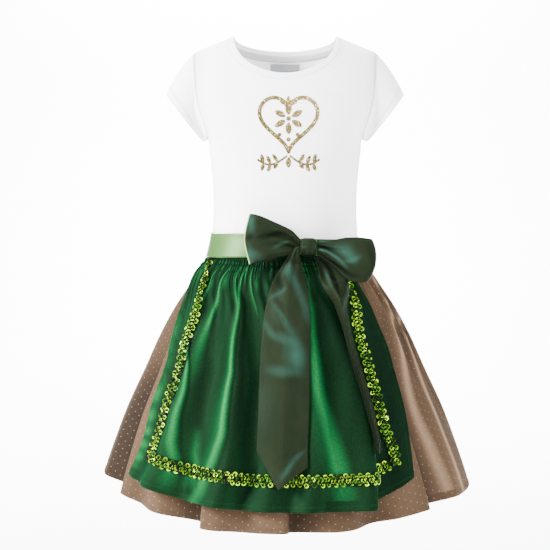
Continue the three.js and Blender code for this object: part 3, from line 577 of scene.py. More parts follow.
def pressed_in(at, v, folds):
    inward, sideways = np.zeros(np.shape(at)), np.zeros(np.shape(at))
    for fold in rows_of(folds):
        away = wrapped(at - fold["angle"] - fold["drift"] * v + 180) - 180
        grown = np.clip((v - fold["start"]) / (1 - fold["start"]), 0, 1) ** 0.8
        grown *= 1 - smooth(v, fold["end"] - 0.4, fold["end"])
        share = bump(away / fold["half"]) * grown
        inward += fold["deep"] * share
        sideways += fold["tuck"] * share
    return inward, sideways


def skirt_surface(angle, v):
    at = wrapped(angle)
    drop = mix(WAIST_DROP, skirt_hem(at), v)
    out, around = base_axes(at, drop)
    inward, sideways = pressed_in(at, v, SKIRT_FOLDS)
    more, further = pressed_in(at, v, SKIRT_CREASES)
    waist = 3.0 * smooth(v, -0.02, 0.08) * gathers(at / 360, SKIRT_GATHERS, v, 5)
    above_hem = (1 - v) * SKIRT_LONG
    pucker = 0.35 * bump((above_hem - 4) / 7) * np.sin(at * 2.9 + 1.7 * np.sin(at * 0.9))
    inward = inward + more + waist + pucker - crest_lines(SKIRT_CRESTS, at, v)[0]
    return skirt_base(at, drop) - out * inward[..., None] + around * (sideways + further)[..., None]


# -------- apron

apron_right, apron_left = curves(APRON_SIDES, "share", "right left")
apron_hem = curve(APRON_HEM, "across", "drop")


def below_top(u, v):
    """How far a place lies below the apron's top edge."""
    return v * (apron_hem(u) - APRON_TOP)


def apron_surface(u, v):
    drop = mix(APRON_TOP, apron_hem(u), v)
    angle = mix(apron_right(v), apron_left(v), u)
    out, around = base_axes(angle, drop)
    outward = THICK["velvet"] + mix(0.9, 2.4, smooth(v, 0.035, 0.085))
    sideways = np.zeros(np.shape(outward))
    shirred = smooth(v, 0.08, 0.22)
    for fold in rows_of(APRON_FOLDS):
        middle = fold["across"] + fold["drift"] * v
        grown = np.clip((v - fold["start"]) / (1 - fold["start"]), 0, 1) ** 0.9 * shirred
        share = bump((u - middle) / fold["half"]) * grown
        outward = outward + fold["out"] * share
        sideways = sideways + fold["roll"] * share
    return skirt_base(angle, drop) + out * outward[..., None] + around * sideways[..., None]


def apron_ridges(u, v):
    """The gathers of the shirring, and the soft pleats that they run out into."""
    below = below_top(u, v)
    fine = gathers(u, APRON_GATHERS, below / 330, 11, 0.09, 0.2)
    sewn = sum(bump((below - row) / 3.2) for row in SHIRRING_ROWS)
    fine = 3.0 * fine * smooth(below, 6, 14) * (1 - 0.5 * np.clip(sewn, 0, 1))
    broad = 3.4 * gathers(u, 17, below / 330, 23, 0.3, 0.85) ** 1.4 * smooth(below, 20, 55)
    fork = 1.8 * gathers(u + 0.011, 31, below / 330, 37, 0.12, 0.3) ** 1.3 * smooth(below, 12, 34)
    return fine + broad + fork


# Wrinkles of the velvet between the side edge and the trim: from across and v to across and v.
APRON_CREASES = [
    (0.0, 0.2, 0.06, 0.16, 0.022, 2.0),
    (0.0, 0.26, 0.07, 0.3, 0.02, 2.4),
    (0.0, 0.34, 0.05, 0.31, 0.018, 2.2),
    (0.0, 0.37, 0.06, 0.41, 0.022, 3.0),
    (0.0, 0.47, 0.05, 0.45, 0.02, 2.4),
    (0.01, 0.51, 0.07, 0.55, 0.016, 2.2),
    (0.0, 0.56, 0.06, 0.61, 0.022, 2.8),
    (0.0, 0.68, 0.05, 0.66, 0.02, 2.2),
    (0.0, 0.8, 0.055, 0.83, 0.02, 2.2),
    (0.1, 0.5, 0.16, 0.62, 0.02, 1.6),
    (0.27, 0.98, 0.25, 0.84, 0.02, 2.6),
    (0.44, 0.97, 0.46, 0.82, 0.02, 1.8),
    (0.92, 0.34, 0.99, 0.38, 0.02, 1.4),
    (0.93, 0.55, 1.0, 0.52, 0.02, 1.4),
    (0.92, 0.74, 0.99, 0.78, 0.02, 1.4),
]

# Sharp crests that run down from the shirring, with the painted highlight along them and the painted shade
# beside them.
APRON_CRESTS = [
    crest(
        (0.06, 0.262, 0.006, 0.5, 0.3, 0.2),
        (0.13, 0.245, 0.007, 2, 0.6, 0.5),
        (0.2, 0.21, 0.008, 1.5, 0.45, 0.4),
        (0.28, 0.19, 0.008, 0, 0, 0),
    ),
    crest(
        (0.06, 0.345, 0.006, 1, 0.3, 0.3),
        (0.12, 0.315, 0.008, 2.4, 0.8, 0.7),
        (0.18, 0.296, 0.009, 3, 0.9, 0.8),
        (0.25, 0.26, 0.014, 3, 0.75, 0.6),
        (0.33, 0.23, 0.024, 2.5, 0.5, 0.4),
        (0.45, 0.205, 0.035, 1, 0.2, 0.1),
        (0.56, 0.2, 0.035, 0, 0, 0),
    ),
    crest(
        (0.06, 0.4, 0.005, 1, 0.3, 0.3),
        (0.12, 0.394, 0.006, 2, 0.6, 0.5),
        (0.2, 0.378, 0.006, 1.5, 0.5, 0.4),
        (0.26, 0.37, 0.006, 0, 0, 0),
    ),
    crest(
        (0.06, 0.438, 0.006, 1, 0.3, 0.3),
        (0.12, 0.42, 0.007, 2.4, 0.8, 0.6),
        (0.24, 0.376, 0.009, 3.4, 0.9, 0.8),
        (0.4, 0.345, 0.01, 4.5, 0.95, 0.9),
        (0.55, 0.333, 0.013, 5, 0.95, 0.7),
        (0.7, 0.335, 0.017, 5, 0.9, 0.35),
        (0.8, 0.318, 0.02, 4, 0.75, 0.25),
        (0.9, 0.302, 0.025, 2, 0.6, 0.15),
        (0.95, 0.3, 0.03, 1, 0.4, 0),
        (1, 0.29, 0.03, 0, 0.3, 0),
    ),
    crest(
        (0.06, 0.47, 0.006, 1, 0.3, 0.3),
        (0.12, 0.469, 0.008, 2, 0.6, 0.5),
        (0.19, 0.466, 0.009, 1, 0.4, 0.3),
        (0.26, 0.465, 0.009, 0, 0, 0),
    ),
    crest(
        (0.25, 0.165, 0.008, 0, 0, 0),
        (0.36, 0.165, 0.008, 2, 0.5, 0.5),
        (0.46, 0.17, 0.012, 3, 0.85, 0.5),
        (0.6, 0.184, 0.016, 4, 0.85, 0.55),
        (0.7, 0.18, 0.022, 4, 0.8, 0.4),
        (0.78, 0.18, 0.028, 4, 0.7, 0.25),
        (0.88, 0.2, 0.034, 2, 0.45, 0.1),
        (0.95, 0.2, 0.04, 1, 0.2, 0),
        (1, 0.2, 0.04, 0, 0, 0),
    ),
    crest(
        (0.7, 0.25, 0.03, 0, 0, 0),
        (0.8, 0.25, 0.03, 1, 0.3, 0),
        (0.88, 0.262, 0.035, 1, 0.4, 0),
        (0.97, 0.26, 0.06, 0, 0, 0),
    ),
    crest(
        (0.1, 0.735, 0.01, 1, 0.2, 0.3),
        (0.2, 0.7, 0.02, 2, 0.45, 0.5),
        (0.33, 0.672, 0.026, 2, 0.6, 0.5),
        (0.5, 0.655, 0.034, 2, 0.7, 0.4),
        (0.64, 0.673, 0.036, 2, 0.75, 0.3),
        (0.76, 0.688, 0.034, 2, 0.8, 0.2),
        (0.86, 0.7, 0.03, 1, 0.6, 0.1),
        (0.96, 0.71, 0.03, 0, 0.2, 0),
    ),
]


def apron_height(u, v):
    hem = 0.35 * smooth(v, 0.965, 0.975)
    return apron_ridges(u, v) + dents(pair(u, v), APRON_CREASES) + crest_lines(APRON_CRESTS, u, v)[0] + hem


apron_cloth = raised(apron_surface, apron_height)
trim_middle = dict(zip(("right", "left"), curves(TRIM_SIDES, "share", "right left")))


def trim_edges(side, v):
    """Where a side trim starts and ends, from its side edge, as shares of the apron's width."""
    half = TRIM_WIDTH * mix(0.8, 1, smooth(v, 0.1, 0.35)) / 2 / mix(270, 440, v)
    if side == "right":  # drawn together over the shirring, and spread over the slope of the fold beside it
        half = half * mix(0.6, 1, smooth(v, 0.12, 0.3)) * mix(1, 1.9, smooth(v, 0.32, 0.46))
    return trim_middle[side](v) - half, trim_middle[side](v) + half


# -------- sash and bow

sash_half, sash_front, sash_back = curves(SASH, "drop", "half front back")


def sash_surface(angle, drop):
    turn = np.radians(angle)
    depth = np.where(np.sin(turn) < 0, sash_front(drop), sash_back(drop))
    rise = SASH_RISE * np.maximum(0, -np.sin(turn)) ** 2
    return vec(sash_half(drop) * np.cos(turn), depth * np.sin(turn), rise - drop)


def worn_sash(angle, drop):
    """The band behind the bow: its top slips lower on the wearer's left, and its low edge rises."""
    slip = 8.5 * smooth(np.cos(np.radians(angle - 315)), 0.1, 0.75)
    rise = 4.5 * bump((angle - 275) / 34)
    low = (drop - SASH_TOP) / (SASH_LOW - SASH_TOP)
    return sash_surface(angle, drop + slip * (1 - low) - rise * low)


def sash_height(angle, drop):
    """Long shallow folds along the band, and a firm lower edge."""
    lie = 0.5 * np.sin(drop / 6.1 + 0.9 * np.sin(np.radians(angle * 2 + 40)))
    lie *= 0.5 + 0.5 * np.sin(np.radians(angle * 3 + 20))
    edge = smooth(drop, SASH_TOP, SASH_TOP + 5) * (1 - smooth(drop, SASH_LOW - 5, SASH_LOW))
    return lie * edge + 0.25 * bump((drop - SASH_LOW + 1) / 1.6)


def knot_centre():
    behind = KNOT["drop"] + SASH_RISE  # the sash's own height behind it
    face = -sash_front(behind) * math.sqrt(1 - (KNOT["x"] / sash_half(behind)) ** 2)
    return np.array([KNOT["x"], face - 1.8 - KNOT["depth"] / 2, -KNOT["drop"]], float)


KNOT_AT = knot_centre()
# The bow's loops. side: -1 for the wearer's right; reach: from the knot to the bend, where it is longest;
# short: how much less far its corners reach; widest: the place across where it is longest; square: how full
# its corners are; back: how far the bend lies behind the knot; belly: how far its front bulges; slip: how
# much lower its back run lies; clear: how far out from the knot's side it starts.
LOOPS = {
    "right": dict(side=-1, reach=93, short=8, widest=0.5, square=1.4, back=-4, belly=17, slip=9, clear=-0.4),
    "left": dict(side=1, reach=98, short=9, widest=0.43, square=2.2, back=-3.5, belly=19, slip=4, clear=0.1),
}
# Their edges in front, as heights over the knot's middle, by the share of the way out.
LOOP_EDGES = {
    "right": table(
        "out top bottom",
        (0, 12, -11),
        (0.09, 20, -11),
        (0.18, 25.8, -11),
        (0.37, 33, -11.6),
        (0.55, 39.5, -13.8),
        (0.74, 46.5, -16.6),
        (0.92, 51.5, -19),
        (1, 52.5, -20),
    ),
    "left": table(
        "out top bottom",
        (0, 10.5, -11),
        (0.05, 10.5, -12.5),
        (0.22, 10.6, -21),
        (0.38, 12.7, -30.5),
        (0.52, 14.9, -40),
        (0.66, 15.6, -47.6),
        (0.8, 15.6, -49),
        (1, 14, -47),
    ),
}
# Creases that fan out of the knot: place across the ribbon, half width, height in front and behind, reach.
LOOP_CREASES = {
    "right": [(0.14, 0.1, 3.0, 1.6, 0.7), (0.32, 0.1, -4.6, -1.6, 0.95), (0.5, 0.1, 3.6, 1.6, 0.8),
              (0.66, 0.1, -4.8, -1.6, 0.9), (0.85, 0.1, 2.8, 1.4, 0.6)],
    "left": [(0.14, 0.1, 2.6, 1.6, 0.7), (0.4, 0.1, -5.2, -1.6, 0.62), (0.62, 0.14, 4.8, 1.6, 0.75),
             (0.84, 0.1, -4.4, -1.2, 0.8)],
}


# Where painted highlights and painted shade lie on the loops, in front: from and to places down and out along
# the ribbon, half width, strength.
LOOP_GLEAMS = {
    "right": [
        (2, 80, 14, 74, 14, 0.55),
        (10, 78, 24, 68, 12, 0.4),
        (42, 76, 58, 82, 15, 0.6),
        (46, 74, 56, 60, 10, 0.35),
        (45, 43, 28, 24, 5, 0.6),
    ],
    "left": [
        (25, 2, 27, 24, 7, 0.9),
        (27, 20, 14, 44, 7, 0.9),
        (46, 28, 34, 52, 20, 0.5),
        (38, 40, 26, 52, 14, 0.4),
        (20, 42, 34, 58, 6, 0.6),
        (56, 6, 56, 22, 5, 0.5),
    ],
}
LOOP_SHADES = {
    "right": [
        (12, 28, 24, 48, 9, 0.8),
        (22, 44, 30, 62, 8, 0.6),
        (30, 82, 26, 66, 6, 0.6),
        (56, 30, 58, 70, 6, 0.5),
        (36, 2, 50, 20, 6, 0.7),
    ],
    "left": [(37, 4, 34, 32, 5, 0.9), (4, 10, 8, 60, 7, 0.8), (50, 70, 20, 84, 12, 0.3)],
}


def loop_places(u, v):
    """Places on the front run: the run behind it is put out of reach."""
    wide, long, out_of_reach = 60, 190, 400
    return pair(u * wide, v * long + out_of_reach * (v > 0.5))


def loop_surface(name):
    loop = LOOPS[name]
    top_of, bottom_of = curves(LOOP_EDGES[name], "out", "top bottom")
    start = KNOT["width"] / 2 + loop["clear"]

    def surface(u, v):
        v = np.clip(v, 0, 1)
        along = np.sin(np.pi * v) ** 2
        out = np.sin(np.pi * v) * 0.25 + along * 0.75
        front = np.cos(np.pi * v)
        full = np.where(front > 0, 0.5, 0.15)  # flatter behind, where it lies on the dress
        swelling = loop["belly"] * full * np.sin(2 * np.pi * v) * (0.35 + 0.65 * along)
        crease = np.zeros(np.shape(out))
        for place, half, ahead, behind, length in LOOP_CREASES[name]:
            fan = (1 - smooth(out, length * 0.2, length)) * np.minimum(1, out * 6 + 0.35)
            lift = np.where(front > 0, ahead, -behind)
            crease = crease + bump((u - place) / (half * (1.25 - 0.4 * out))) * fan * lift
        depth = -4.2 * front - swelling + loop["back"] * out - crease * 0.8
        reach = loop["reach"] - loop["short"] * np.abs(2 * (u - loop["widest"])) ** loop["square"]
        height = mix(top_of(out), bottom_of(out), u) - loop["slip"] * (1 - front) * out / 2
        return KNOT_AT + vec(loop["side"] * (start + (reach - start) * out), depth, height)

    return surface if loop["side"] < 0 else lambda u, v: surface(1 - u, v)


# The tails: the middle of the ribbon, how wide it looks from the front, how far it hangs off what it lies on,
# and how wide its cloth is there. What is wider than it looks is folded lengthwise.
TAILS = {
    "right": table(
        "drop x wide off cloth",
        (303, 17.6, 4.6, 23.5, 5),
        (308.4, 15, 9.6, 22.5, 10),
        (315.6, 12.4, 15.4, 20.5, 16),
        (323.8, 10.9, 22.5, 11, 24),
        (331, 9.5, 28.5, 5.5, 31),
        (338, 8, 34.5, 4.6, 38),
        (351.5, 5.8, 46.5, 4.4, 50),
        (364, 4.6, 54.5, 4, 58),
        (379, 3.6, 60.5, 2.4, 64),
        (406, 2.1, 67, 1.95, 70),
        (447, 0, 70.5, 1.95, 73),
        (529, -2.8, 72, 1.95, 75),
        (582, -4.8, 72, 2.6, 75),
    ),
    "left": table(
        "drop x wide off cloth",
        (319, 46, 12, 1.8, 12),
        (332, 58.5, 26.5, 1.8, 26.6),
        (339, 64, 33, 1.6, 33.1),
        (353, 70.5, 40.5, 2, 42),
        (366.7, 74, 36, 2, 60),
        (380.5, 78.5, 24.5, 3, 69),
        (394, 81, 17, 3, 72),
        (421.7, 88, 12, 3, 72),
        (462.6, 98.5, 12.5, 3, 72),
        (518, 116, 13, 3, 72),
        (550, 124, 11, 3, 72),
        (573, 129.5, 9, 3, 72),
    ),
}
TAIL_ENDS = {
    "right": lambda u: np.where(u < 0.42, 3 + 120 * u, 53.4 - 50 * (u - 0.42)),
    "left": lambda u: 6 + 9 * u,
}


def stand_off():
    """How far forward the sash and the apron stand, by the distance from the middle and the drop."""
    x_step, drop_step = 2.5, 3.0
    xs, drops = np.arange(-120, 180, x_step), np.arange(300, 672, drop_step)
    u = even(200, 0.02, 0.98)
    rows = []
    for drop in drops:
        v = np.clip((drop - APRON_TOP) / (apron_hem(u) - APRON_TOP), 0, 1)
        at = apron_surface(u, v)
        out = -at[:, 1] + apron_height(u, v)
        near = np.abs(at[None, :, 0] - xs[:, None]) < 2 * x_step
        row = np.where(near, out[None], -1e9).max(1)
        if drop < SASH_LOW:
            sash_at = min(drop + SASH_RISE, SASH_LOW)
            row = np.maximum(row, sash_front(sash_at) * bulge(xs / sash_half(sash_at), 2))
        rows.append(row)
    grid = np.array(rows)

    def at(x, drop):
        i = np.clip((np.asarray(x) - xs[0]) / x_step, 0, len(xs) - 1.001)
        j = np.clip((np.asarray(drop) - drops[0]) / drop_step, 0, len(drops) - 1.001)
        i0, j0 = np.floor(i).astype(int), np.floor(j).astype(int)
        s, t = i - i0, j - j0
        low = mix(grid[j0, i0], grid[j0, i0 + 1], s)
        high = mix(grid[j0 + 1, i0], grid[j0 + 1, i0 + 1], s)
        return mix(low, high, t)

    return at


standing = stand_off()


def tail_surface(name, waves):
    rows = TAILS[name]
    middle, wide_at, off, cloth = curves(rows, "drop", "x wide off cloth")
    first, last = rows["drop"][0], rows["drop"][-1]

    def surface(u, v):
        at = mix(first, last, np.minimum(v, 1))
        drop = at + np.maximum(0, v - 1) * TAIL_ENDS[name](u)
        wide = wide_at(at)
        x = middle(at) + (u - 0.5) * wide
        carried = [
            np.max([standing(middle(at) + s * wide, drop + step) for s in even(7, -0.5, 0.5)], axis=0)
            for step in (-18, -9, 0, 9, 18)
        ]
        most = np.mean(carried, axis=0)
        folded = np.sqrt(np.maximum(0, cloth(at) ** 2 - wide**2)) / 2
        crest = folded * (1 - np.abs(2 * u - 1) ** 1.3)
        grown = smooth(at, first, first + 90)
        wave = waves * (1 + np.sin(drop / 21 + 2 * u)) * grown
        pinch = 1.6 * (1 - grown) * np.cos(5 * np.pi * u) * smooth(at, first, first + 14)
        out = mix(standing(x, drop), most, 0.85) + off(at) + crest + wave + pinch
        return vec(x, -out, -drop)

    return surface


# Soft dents and, where the depth is below 0, swellings of the tails: from and to places across and down the
# ribbon in millimetres, half width, depth.
TAIL_CREASES = {
    "right": [
        (24, 30, 46, 64, 20, -1.6),
        (6, 44, 22, 62, 14, 1.6),
        (10, 70, 40, 118, 14, -1.0),
        (20, 78, 54, 112, 16, 1.2),
        (60, 60, 66, 110, 12, -1.0),
        (10, 140, 40, 150, 22, 1.0),
        (40, 150, 60, 172, 24, -1.4),
        (20, 300, 54, 320, 24, -0.8),
    ],
    "left": [
        (20, 26, 26, 46, 12, -1.4),
        (34, 30, 40, 52, 12, 1.8),
        (66, 26, 60, 70, 12, -1.2),
    ],
}
# Where painted highlights lie on the satin, and where painted shade lies on it, in the same way: half width,
# strength.
TAIL_GLEAMS = {
    "right": [
        (10, 32, 34, 34, 15, 0.5),
        (30, 30, 50, 54, 15, 0.55),
        (46, 46, 66, 84, 13, 0.4),
        (62, 76, 70, 108, 12, 0.4),
        (32, 58, 4, 74, 6, 0.45),
        (10, 79, 28, 96, 7, 0.35),
        (24, 92, 46, 122, 9, 0.45),
        (0, 104, 18, 126, 8, 0.35),
        (12, 122, 52, 133, 12, 0.45),
        (46, 122, 50, 170, 22, 0.6),
        (54, 140, 60, 174, 18, 0.45),
        (12, 171, 50, 174, 13, 0.5),
        (66, 296, 44, 440, 11, 0.5),
        (48, 410, 36, 500, 12, 0.65),
    ],
    "left": [
        (22, 24, 24, 46, 10, 0.5),
        (68, 24, 70, 60, 11, 0.5),
        (68, 56, 40, 84, 11, 0.5),
    ],
}
TAIL_SHADES = {
    "right": [(2, 38, 20, 62, 10, 0.7), (20, 52, 26, 66, 7, 0.3)],
    "left": [(36, 28, 38, 54, 11, 0.9), (36, 90, 36, 300, 90, 0.6)],
}


def tail_places(u, v):
    wide, long = 72, 279
    return pair(u * wide, v * long)


def tail_height(name):
    def height(u, v):
        return dents(tail_places(u, v), TAIL_CREASES[name]) * smooth(v, 0.02, 0.12)

    return height


# ---------------------------------------------------------------- meshes


def link(name, mesh):
    piece = bpy.data.objects.new(name, mesh)
    bpy.context.scene.collection.objects.link(piece)
    return piece


def mesh_of(name, points, faces, flat=None, values=None, material=None):
    """A smooth mesh from points in millimetres; flat holds a flat place in metres for each face corner."""
    mesh = bpy.data.meshes.new(name)
    mesh.from_pydata((np.asarray(points) * MM).tolist(), [], [list(map(int, f)) for f in faces])
    mesh.polygons.foreach_set("use_smooth", np.ones(len(mesh.polygons), bool))
    if flat is not None:
        layer = mesh.uv_layers.new(name="flat")
        layer.data.foreach_set("uv", np.asarray(flat, np.float32).ravel())
    for key, value in (values or {}).items():
        attribute = mesh.attributes.new(key, "FLOAT", "POINT")
        attribute.data.foreach_set("value", np.asarray(value, np.float32).ravel())
    if material:
        mesh.materials.append(material)
    mesh.update()
    return link(name, mesh)


def lengths(points, axis):
    """How far each point lies along its row or its column."""
    run = np.cumsum(np.linalg.norm(np.diff(points, axis=axis), axis=-1), axis=axis)
    return np.insert(run, 0, 0, axis=axis)


def laid_flat(points, gathered):
    """Each point's place on the flat cloth, in metres: true lengths, or the hem's where cloth is gathered."""
    across, down = lengths(points, 1), lengths(points, 0)
    if gathered:
        across = np.broadcast_to(across[-1], across.shape)
        down = np.broadcast_to(down.mean(1, keepdims=True), down.shape)
    middle = across[:, across.shape[1] // 2][:, None]
    return pair(across - middle, down) * MM


def shell(name, surface, us, vs, thick, material, ring=False, height=None, gathered=False, values=None):
    """A thin wall of cloth over a surface, its outside raised by height."""
    u, v = np.meshgrid(us, vs)
    base, normal = surface(u, v), normal_of(surface, u, v)
    outer = base + normal * height(u, v)[..., None] if height else base
    inner = base - normal * thick
    rows, cols = u.shape
    wide = cols - 1 if ring else cols
    r, c = np.meshgrid(np.arange(rows), np.arange(cols), indexing="ij")
    number, corner = r * wide + c % wide, r * cols + c
    under = rows * wide
    quads, corners = [], []

    def add(a, b, c_, d, offsets):
        quads.append(np.stack([n + o for n, o in zip((a[0], b[0], c_[0], d[0]), offsets)], -1).reshape(-1, 4))
        corners.append(np.stack([a[1], b[1], c_[1], d[1]], -1).reshape(-1, 4))

    def part(rs, cs):
        return number[rs, cs], corner[rs, cs]

    head, tail = slice(None, -1), slice(1, None)
    nw, ne, sw, se = part(head, head), part(head, tail), part(tail, head), part(tail, tail)
    add(nw, sw, se, ne, (0, 0, 0, 0))
    add(nw, ne, se, sw, (under,) * 4)
    add(part(0, head), part(0, tail), part(0, tail), part(0, head), (0, 0, under, under))
    add(part(-1, head), part(-1, tail), part(-1, tail), part(-1, head), (under, under, 0, 0))
    if not ring:
        add(part(head, 0), part(head, 0), part(tail, 0), part(tail, 0), (0, under, under, 0))
        add(part(tail, -1), part(tail, -1), part(head, -1), part(head, -1), (0, under, under, 0))
    flat = laid_flat(base, gathered).reshape(-1, 2)
    points = np.concatenate([outer[:, :wide].reshape(-1, 3), inner[:, :wide].reshape(-1, 3)])
    extra = {}
    for key, made in (values or {}).items():
        value = made(u, v)[:, :wide].ravel()
        extra[key] = np.concatenate([value, value])
    flat = flat[np.concatenate(corners).ravel()]
    return mesh_of(name, points, np.concatenate(quads), flat, extra, material)


def places_piece(name, points, edges, facing):
    """Loose points and edges, with the outward direction kept at each point."""
    mesh = bpy.data.meshes.new(name)
    mesh.from_pydata((np.asarray(points) * MM).tolist(), edges, [])
    attribute = mesh.attributes.new("facing", "FLOAT_VECTOR", "POINT")
    attribute.data.foreach_set("vector", np.asarray(facing, np.float32).ravel())
    return link(name, mesh)


def line_piece(name, runs):
    points, edges, facing = [], [], []
    for line, normals in runs:
        edges += [(len(points) + i, len(points) + i + 1) for i in range(len(line) - 1)]
        points += line.tolist()
        facing += normals.tolist()
    return places_piece(name, points, edges, facing)


# ---------------------------------------------------------------- node helpers


def node(tree, kind, inputs=None, **settings):
    made = tree.nodes.new(kind)
    for key, value in settings.items():
        setattr(made, key, value)
    for key, value in (inputs or {}).items():
        if isinstance(value, bpy.types.NodeSocket):
            tree.links.new(value, made.inputs[key])
        else:
            made.inputs[key].default_value = value
    return made


def maths(tree, operation, a, b=None):
    inputs = {i: x for i, x in enumerate((a, b)) if x is not None}
    return node(tree, "ShaderNodeMath", inputs, operation=operation).outputs[0]


def ramp(tree, value, low, high, to_low=0.0, to_high=1.0):
    inputs = {"Value": value, "From Min": low, "From Max": high, "To Min": to_low, "To Max": to_high}
    return node(tree, "ShaderNodeMapRange", inputs, interpolation_type="SMOOTHSTEP").outputs[0]


def blend(tree, share, a, b):
    return node(tree, "ShaderNodeMix", {0: share, 6: a, 7: b}, data_type="RGBA").outputs[2]


def group_of(kind, name, inputs, outputs):
    tree = bpy.data.node_groups.new(name, kind)
    for key, socket, value in inputs:
        made = tree.interface.new_socket(name=key, in_out="INPUT", socket_type="NodeSocket" + socket)
        if value is not None:
            made.default_value = value
    for key, socket in outputs:
        tree.interface.new_socket(name=key, in_out="OUTPUT", socket_type="NodeSocket" + socket)
    return tree, node(tree, "NodeGroupInput").outputs, node(tree, "NodeGroupOutput")


def colour(code, share=1.0):
    """A linear colour from a web colour, or a share of it."""
    parts = [int(code[i : i + 2], 16) / 255 for i in (0, 2, 4)]
    return (*[share * (p / 12.92 if p < 0.04045 else ((p + 0.055) / 1.055) ** 2.4) for p in parts], 1.0)


# -------- effects that several cloths share


def make_thread_weave():
    """Crossing threads: how high they stand, and how their tone varies."""
    tree, given, out = group_of(
        "ShaderNodeTree",
        "thread_weave",
        [("Place", "Vector", None), ("Thread Pitch", "Float", 0.0005), ("Slub", "Float", 0.3)],
        [("Height", "Float"), ("Tone", "Float")],
    )
    wobble = node(tree, "ShaderNodeTexNoise", {"Vector": given["Place"], "Scale": 90.0, "Detail": 2.0})
    parts = node(tree, "ShaderNodeSeparateXYZ", {0: given["Place"]}).outputs
    turns = maths(tree, "DIVIDE", 2 * math.pi, given["Thread Pitch"])
    slub = maths(tree, "MULTIPLY", given["Slub"], 6.0)
    bent = maths(tree, "MULTIPLY", maths(tree, "SUBTRACT", wobble.outputs[0], 0.5), slub)
    across = maths(tree, "SINE", maths(tree, "ADD", maths(tree, "MULTIPLY", parts[0], turns), bent))
    along = maths(tree, "SINE", maths(tree, "ADD", maths(tree, "MULTIPLY", parts[1], turns), bent))
    cross = maths(tree, "MULTIPLY", across, along)
    tree.links.new(ramp(tree, cross, -1.0, 1.0), out.inputs["Height"])
    patch = node(tree, "ShaderNodeTexNoise", {"Vector": given["Place"], "Scale": 700.0, "Detail": 3.0})
    tree.links.new(ramp(tree, patch.outputs[0], 0.3, 0.7), out.inputs["Tone"])
    return tree


def make_mottle():
    """Slow and fine changes over the cloth, from handling and the dye."""
    tree, given, out = group_of(
        "ShaderNodeTree",
        "mottle",
        [("Place", "Vector", None), ("Scale", "Float", 12.0), ("Stretch", "Float", 1.0)],
        [("Slow", "Float"), ("Fine", "Float")],
    )
    scale = node(tree, "ShaderNodeCombineXYZ", {0: 1.0, 1: given["Stretch"], 2: 1.0}).outputs[0]
    parts = {0: given["Place"], 1: scale}
    placed = node(tree, "ShaderNodeVectorMath", parts, operation="MULTIPLY").outputs[0]
    slow = node(tree, "ShaderNodeTexNoise", {"Vector": placed, "Scale": given["Scale"], "Detail": 3.0})
    fast = maths(tree, "MULTIPLY", given["Scale"], 23.0)
    fine = node(tree, "ShaderNodeTexNoise", {"Vector": placed, "Scale": fast, "Detail": 4.0})
    tree.links.new(ramp(tree, slow.outputs[0], 0.3, 0.7), out.inputs["Slow"])
    tree.links.new(ramp(tree, fine.outputs[0], 0.3, 0.7), out.inputs["Fine"])
    return tree


def make_dot_lattice():
    """Dots on a slanting lattice of the flat cloth: 1 inside a dot, 0 outside."""
    tree, given, out = group_of(
        "ShaderNodeTree",
        "dot_lattice",
        [("Place", "Vector", None), ("Step A", "Vector", None), ("Step B", "Vector", None)]
        + [("Radius", "Float", 0.001)],
        [("Dot", "Float"), ("Dome", "Float")],
    )
    x, y, _ = node(tree, "ShaderNodeSeparateXYZ", {0: given["Place"]}).outputs
    ax, ay, _ = node(tree, "ShaderNodeSeparateXYZ", {0: given["Step A"]}).outputs
    bx, by, _ = node(tree, "ShaderNodeSeparateXYZ", {0: given["Step B"]}).outputs

    def cross(p, q, r, s):
        return maths(tree, "SUBTRACT", maths(tree, "MULTIPLY", p, q), maths(tree, "MULTIPLY", r, s))

    area = cross(ax, by, ay, bx)
    a = maths(tree, "DIVIDE", cross(x, by, y, bx), area)
    b = maths(tree, "DIVIDE", cross(y, ax, x, ay), area)
    a = maths(tree, "SUBTRACT", a, maths(tree, "ROUND", a))
    b = maths(tree, "SUBTRACT", b, maths(tree, "ROUND", b))
    dx = maths(tree, "ADD", maths(tree, "MULTIPLY", a, ax), maths(tree, "MULTIPLY", b, bx))
    dy = maths(tree, "ADD", maths(tree, "MULTIPLY", a, ay), maths(tree, "MULTIPLY", b, by))
    square = maths(tree, "ADD", maths(tree, "MULTIPLY", dx, dx), maths(tree, "MULTIPLY", dy, dy))
    away = maths(tree, "SQRT", square)
    share = maths(tree, "DIVIDE", away, given["Radius"])
    tree.links.new(ramp(tree, share, 0.8, 1.15, 1.0, 0.0), out.inputs["Dot"])
    tree.links.new(ramp(tree, share, 0.1, 1.1, 1.0, 0.0), out.inputs["Dome"])
    return tree


THREADS, MOTTLE, DOTS = make_thread_weave(), make_mottle(), make_dot_lattice()


def material(name):
    made = bpy.data.materials.new(name)
    made.use_nodes = True
    tree = made.node_tree
    tree.nodes.clear()
    out = node(tree, "ShaderNodeOutputMaterial")
    shader = node(tree, "ShaderNodeBsdfPrincipled")
    tree.links.new(shader.outputs[0], out.inputs["Surface"])
    return made, tree, shader


def placed_group(tree, group, **inputs):
    inputs = {key.replace("_", " "): value for key, value in inputs.items()}
    return node(tree, "ShaderNodeGroup", inputs, node_tree=group).outputs


def attribute(tree, name):
    return node(tree, "ShaderNodeAttribute", attribute_name=name).outputs["Fac"]


def object_place(tree):
    return node(tree, "ShaderNodeTexCoord").outputs["Object"]


def flat_place(tree):
    return node(tree, "ShaderNodeUVMap", uv_map="flat").outputs[0]


def bumped(tree, shader, *layers):
    """Bump from heights of a given strength and depth in metres, one over another."""
    normal = None
    for height, strength, distance in layers:
        inputs = {"Height": height, "Strength": strength, "Distance": distance}
        if normal is not None:
            inputs["Normal"] = normal
        normal = node(tree, "ShaderNodeBump", inputs).outputs[0]
    tree.links.new(normal, shader.inputs["Normal"])


